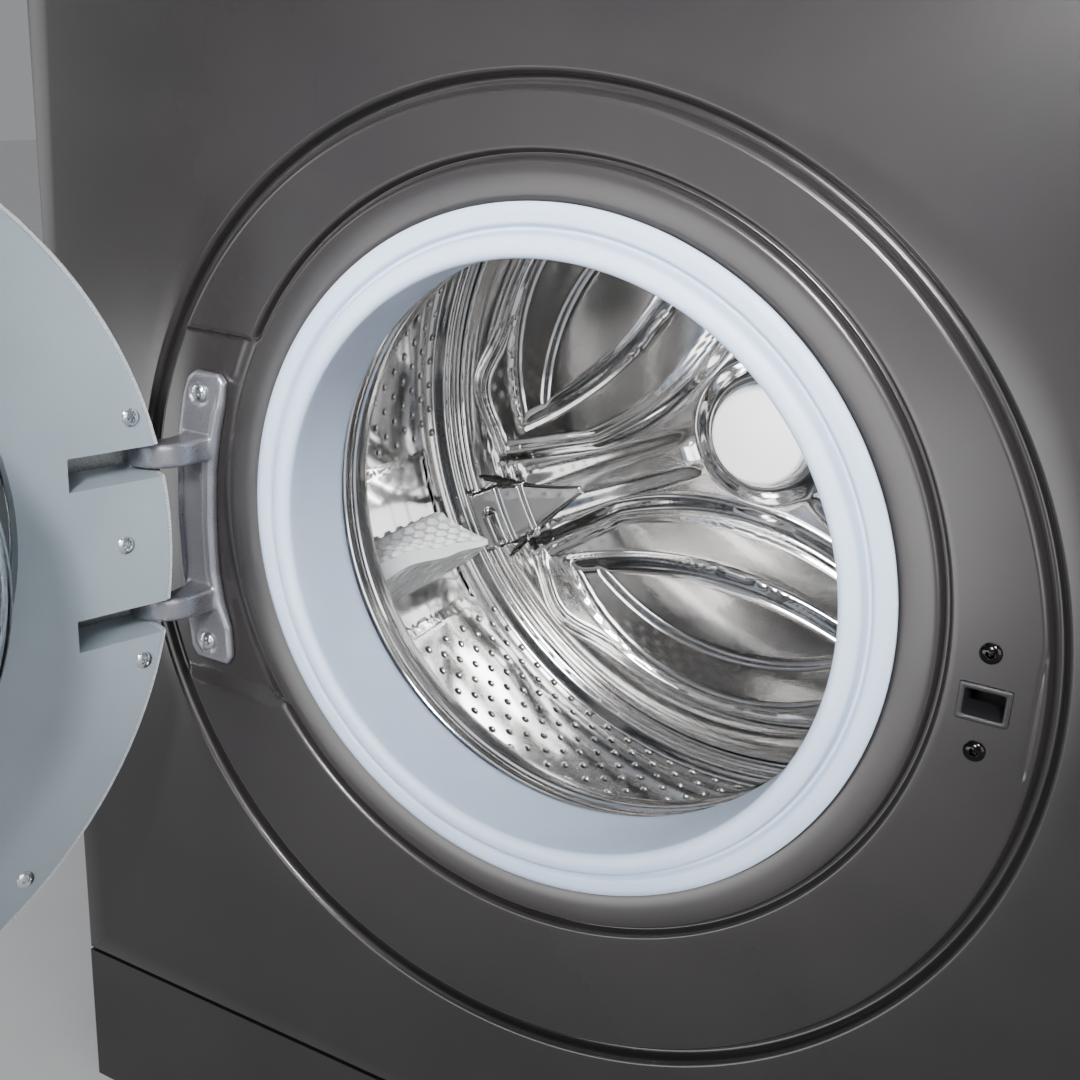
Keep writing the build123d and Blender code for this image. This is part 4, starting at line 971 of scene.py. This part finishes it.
BLOCK_BASE = 303.0
BLOCK_MIDDLE = 6.0


def block_rise(radius, across):
    """A fixing block's height above the drum's back: a box with a step, a slot, and a wedge to the hub."""
    v = abs(across - BLOCK_MIDDLE)
    box = min(radius - 183, 227.4 - radius, 24 - v - 0.12 * abs(radius - 205))
    rise = 12.5 * smooth_step(box, 0, 3.2)
    rise += 3.5 * smooth_step(min(radius - 201, 24 - v), 0, 2.5) * (1 if box > 0 else 0)
    wedge = min(radius - 138, 5 + 0.34 * (radius - 138) - v)
    rise = max(rise, 8.5 * smooth_step(wedge, 0, 3) * (1 - smooth_step(radius, 215, 226)))
    reach = max(abs(across - 14) - 9.5, 0)
    slot = 4.6 - math.hypot(reach, radius - 212.5)
    rise -= 13 * smooth_step(slot, 0, 1.0)
    rise += 1.2 * math.exp(-((slot + 0.9) / 0.7) ** 2) * smooth_step(box, 1, 3)
    return rise


def fixing_block(lifter):
    verts, faces = [], []
    radii = [136 + 0.9 * i for i in range(104)]
    offsets = [-24 + 0.9 * i for i in range(68)]
    for radius in radii:
        for across in offsets:
            aim = math.radians(lifter) + across / 212
            verts.append(place(radius * math.cos(aim), BLOCK_BASE - block_rise(radius, across),
                               radius * math.sin(aim)))
    width = len(offsets)
    for row in range(len(radii) - 1):
        for column in range(width - 1):
            corners = (row * width + column, row * width + column + 1, (row + 1) * width + column + 1,
                       (row + 1) * width + column)
            if any(verts[c].y < FRONT_Y + (BLOCK_BASE - 0.1) * MM for c in corners):
                faces.append(corners)
    mesh = mesh_from(f"fixing_block_{lifter}", verts, faces)
    tidy = bmesh.new()
    tidy.from_mesh(mesh)
    bmesh.ops.delete(tidy, geom=[v for v in tidy.verts if not v.link_faces], context="VERTS")
    tidy.to_mesh(mesh)
    tidy.free()
    return mesh


for lifter in LIFTER_ANGLES:
    block_piece = finish_piece(f"fixing_block_{lifter}", fixing_block(lifter), polished, "drum", [],
                               angle=70)
    block_sheet = block_piece.modifiers.new("sheet", "SOLIDIFY")
    block_sheet.thickness = 0.0008
    block_sheet.offset = 0

# Lifters: S-curved paddles, with raised drops on the upper side and slanted openings on the lower
LIFTER_FRONT = 112.0


def bend(points, value):
    """Read a smooth curve through (value, result) points."""
    for (low, start), (high, end) in zip(points, points[1:]):
        if value <= high or (high, end) == points[-1]:
            return start + (end - start) * smooth_step(value, low, high)
    return points[-1][1]


def lifter_mesh(lifter):
    rows, upper, band, lower = 170, 44, 10, 44
    verts, faces = [], []
    total = upper + band + lower
    for row in range(rows + 1):
        t = row / rows
        ridge_depth = LIFTER_FRONT + 126 * t
        ridge_top = bend([(112, -1.6), (150, -1.2), (200, 1.6), (238, 3.8)], ridge_depth)
        ridge_foot = bend([(112, 2.0), (148, 1.4), (200, 3.4), (238, 4.8)], ridge_depth)
        keys = [(DRUM_R - 0.5, LIFTER_FRONT + 156 * t, -2.7), (188, ridge_depth, ridge_top),
                (189.5, ridge_depth + 1, ridge_foot), (DRUM_R - 0.5, LIFTER_FRONT + 176 * t, 7.2)]
        for step in range(total + 1):
            if step <= upper:
                s, low, high = step / upper, keys[0], keys[1]
            elif step <= upper + band:
                s, low, high = (step - upper) / band, keys[1], keys[2]
            else:
                s, low, high = (step - upper - band) / lower, keys[2], keys[3]
            radius, depth, turn = (a + (b - a) * s for a, b in zip(low, high))
            lift = 0.0
            if 1 < row < rows - 1 and 0 < s < 1:
                if step < upper:
                    u = (depth - LIFTER_FRONT) / 14 - s * 1.2
                    v = (s - 0.06) * 5.2
                    stagger = 0.5 * (math.floor(v) % 2)
                    du, dv = (u + stagger) % 1 - 0.5, v % 1 - 0.5
                    if 0 < v < 5:
                        lift = 2.6 * smooth_step(1 - (abs(du) / 0.4) ** 1.6 - (abs(dv) / 0.3) ** 2, 0, 0.7)
                elif step > upper + band:
                    u = (depth - LIFTER_FRONT) / 13 + s * 0.8
                    v = (s - 0.1) * 2.6
                    du, dv = u % 1 - 0.5, v % 1 - 0.5
                    if 0 < v < 2:
                        lift = -4.5 * smooth_step(1 - (abs(du) / 0.3) ** 2 - (abs(dv) / 0.42) ** 2, 0, 0.5)
                else:
                    u = (depth - LIFTER_FRONT) / 12
                    lift = -0.5 * max(0, 1 - math.hypot((u % 1 - 0.5) * 6, (s - 0.5) * 6))
            lean = -1.05 if step < upper else 1.05
            if upper <= step <= upper + band:
                lean = 0
            aim = math.radians(lifter + turn) + lean * lift / 200
            radius -= lift * (0 if lean else 1)
            verts.append(place(radius * math.cos(aim), depth, radius * math.sin(aim)))
    across = total + 1
    for row in range(rows):
        for step in range(total):
            faces.append((row * across + step, row * across + step + 1, (row + 1) * across + step + 1,
                          (row + 1) * across + step))
    faces.append(tuple(range(across)))
    faces.append(tuple(reversed(range(rows * across, (rows + 1) * across))))
    faces.extend((row * across, (row + 1) * across, (row + 1) * across + total, row * across + total)
                 for row in range(rows))
    return mesh_from(f"lifter_{lifter}", verts, faces)


for index, lifter in enumerate(LIFTER_ANGLES):
    replaced = ["lifters"] if index == 0 else []
    finish_piece(f"lifter_{lifter}", lifter_mesh(lifter), lifter_plastic, "drum", replaced,
                 angle=45)
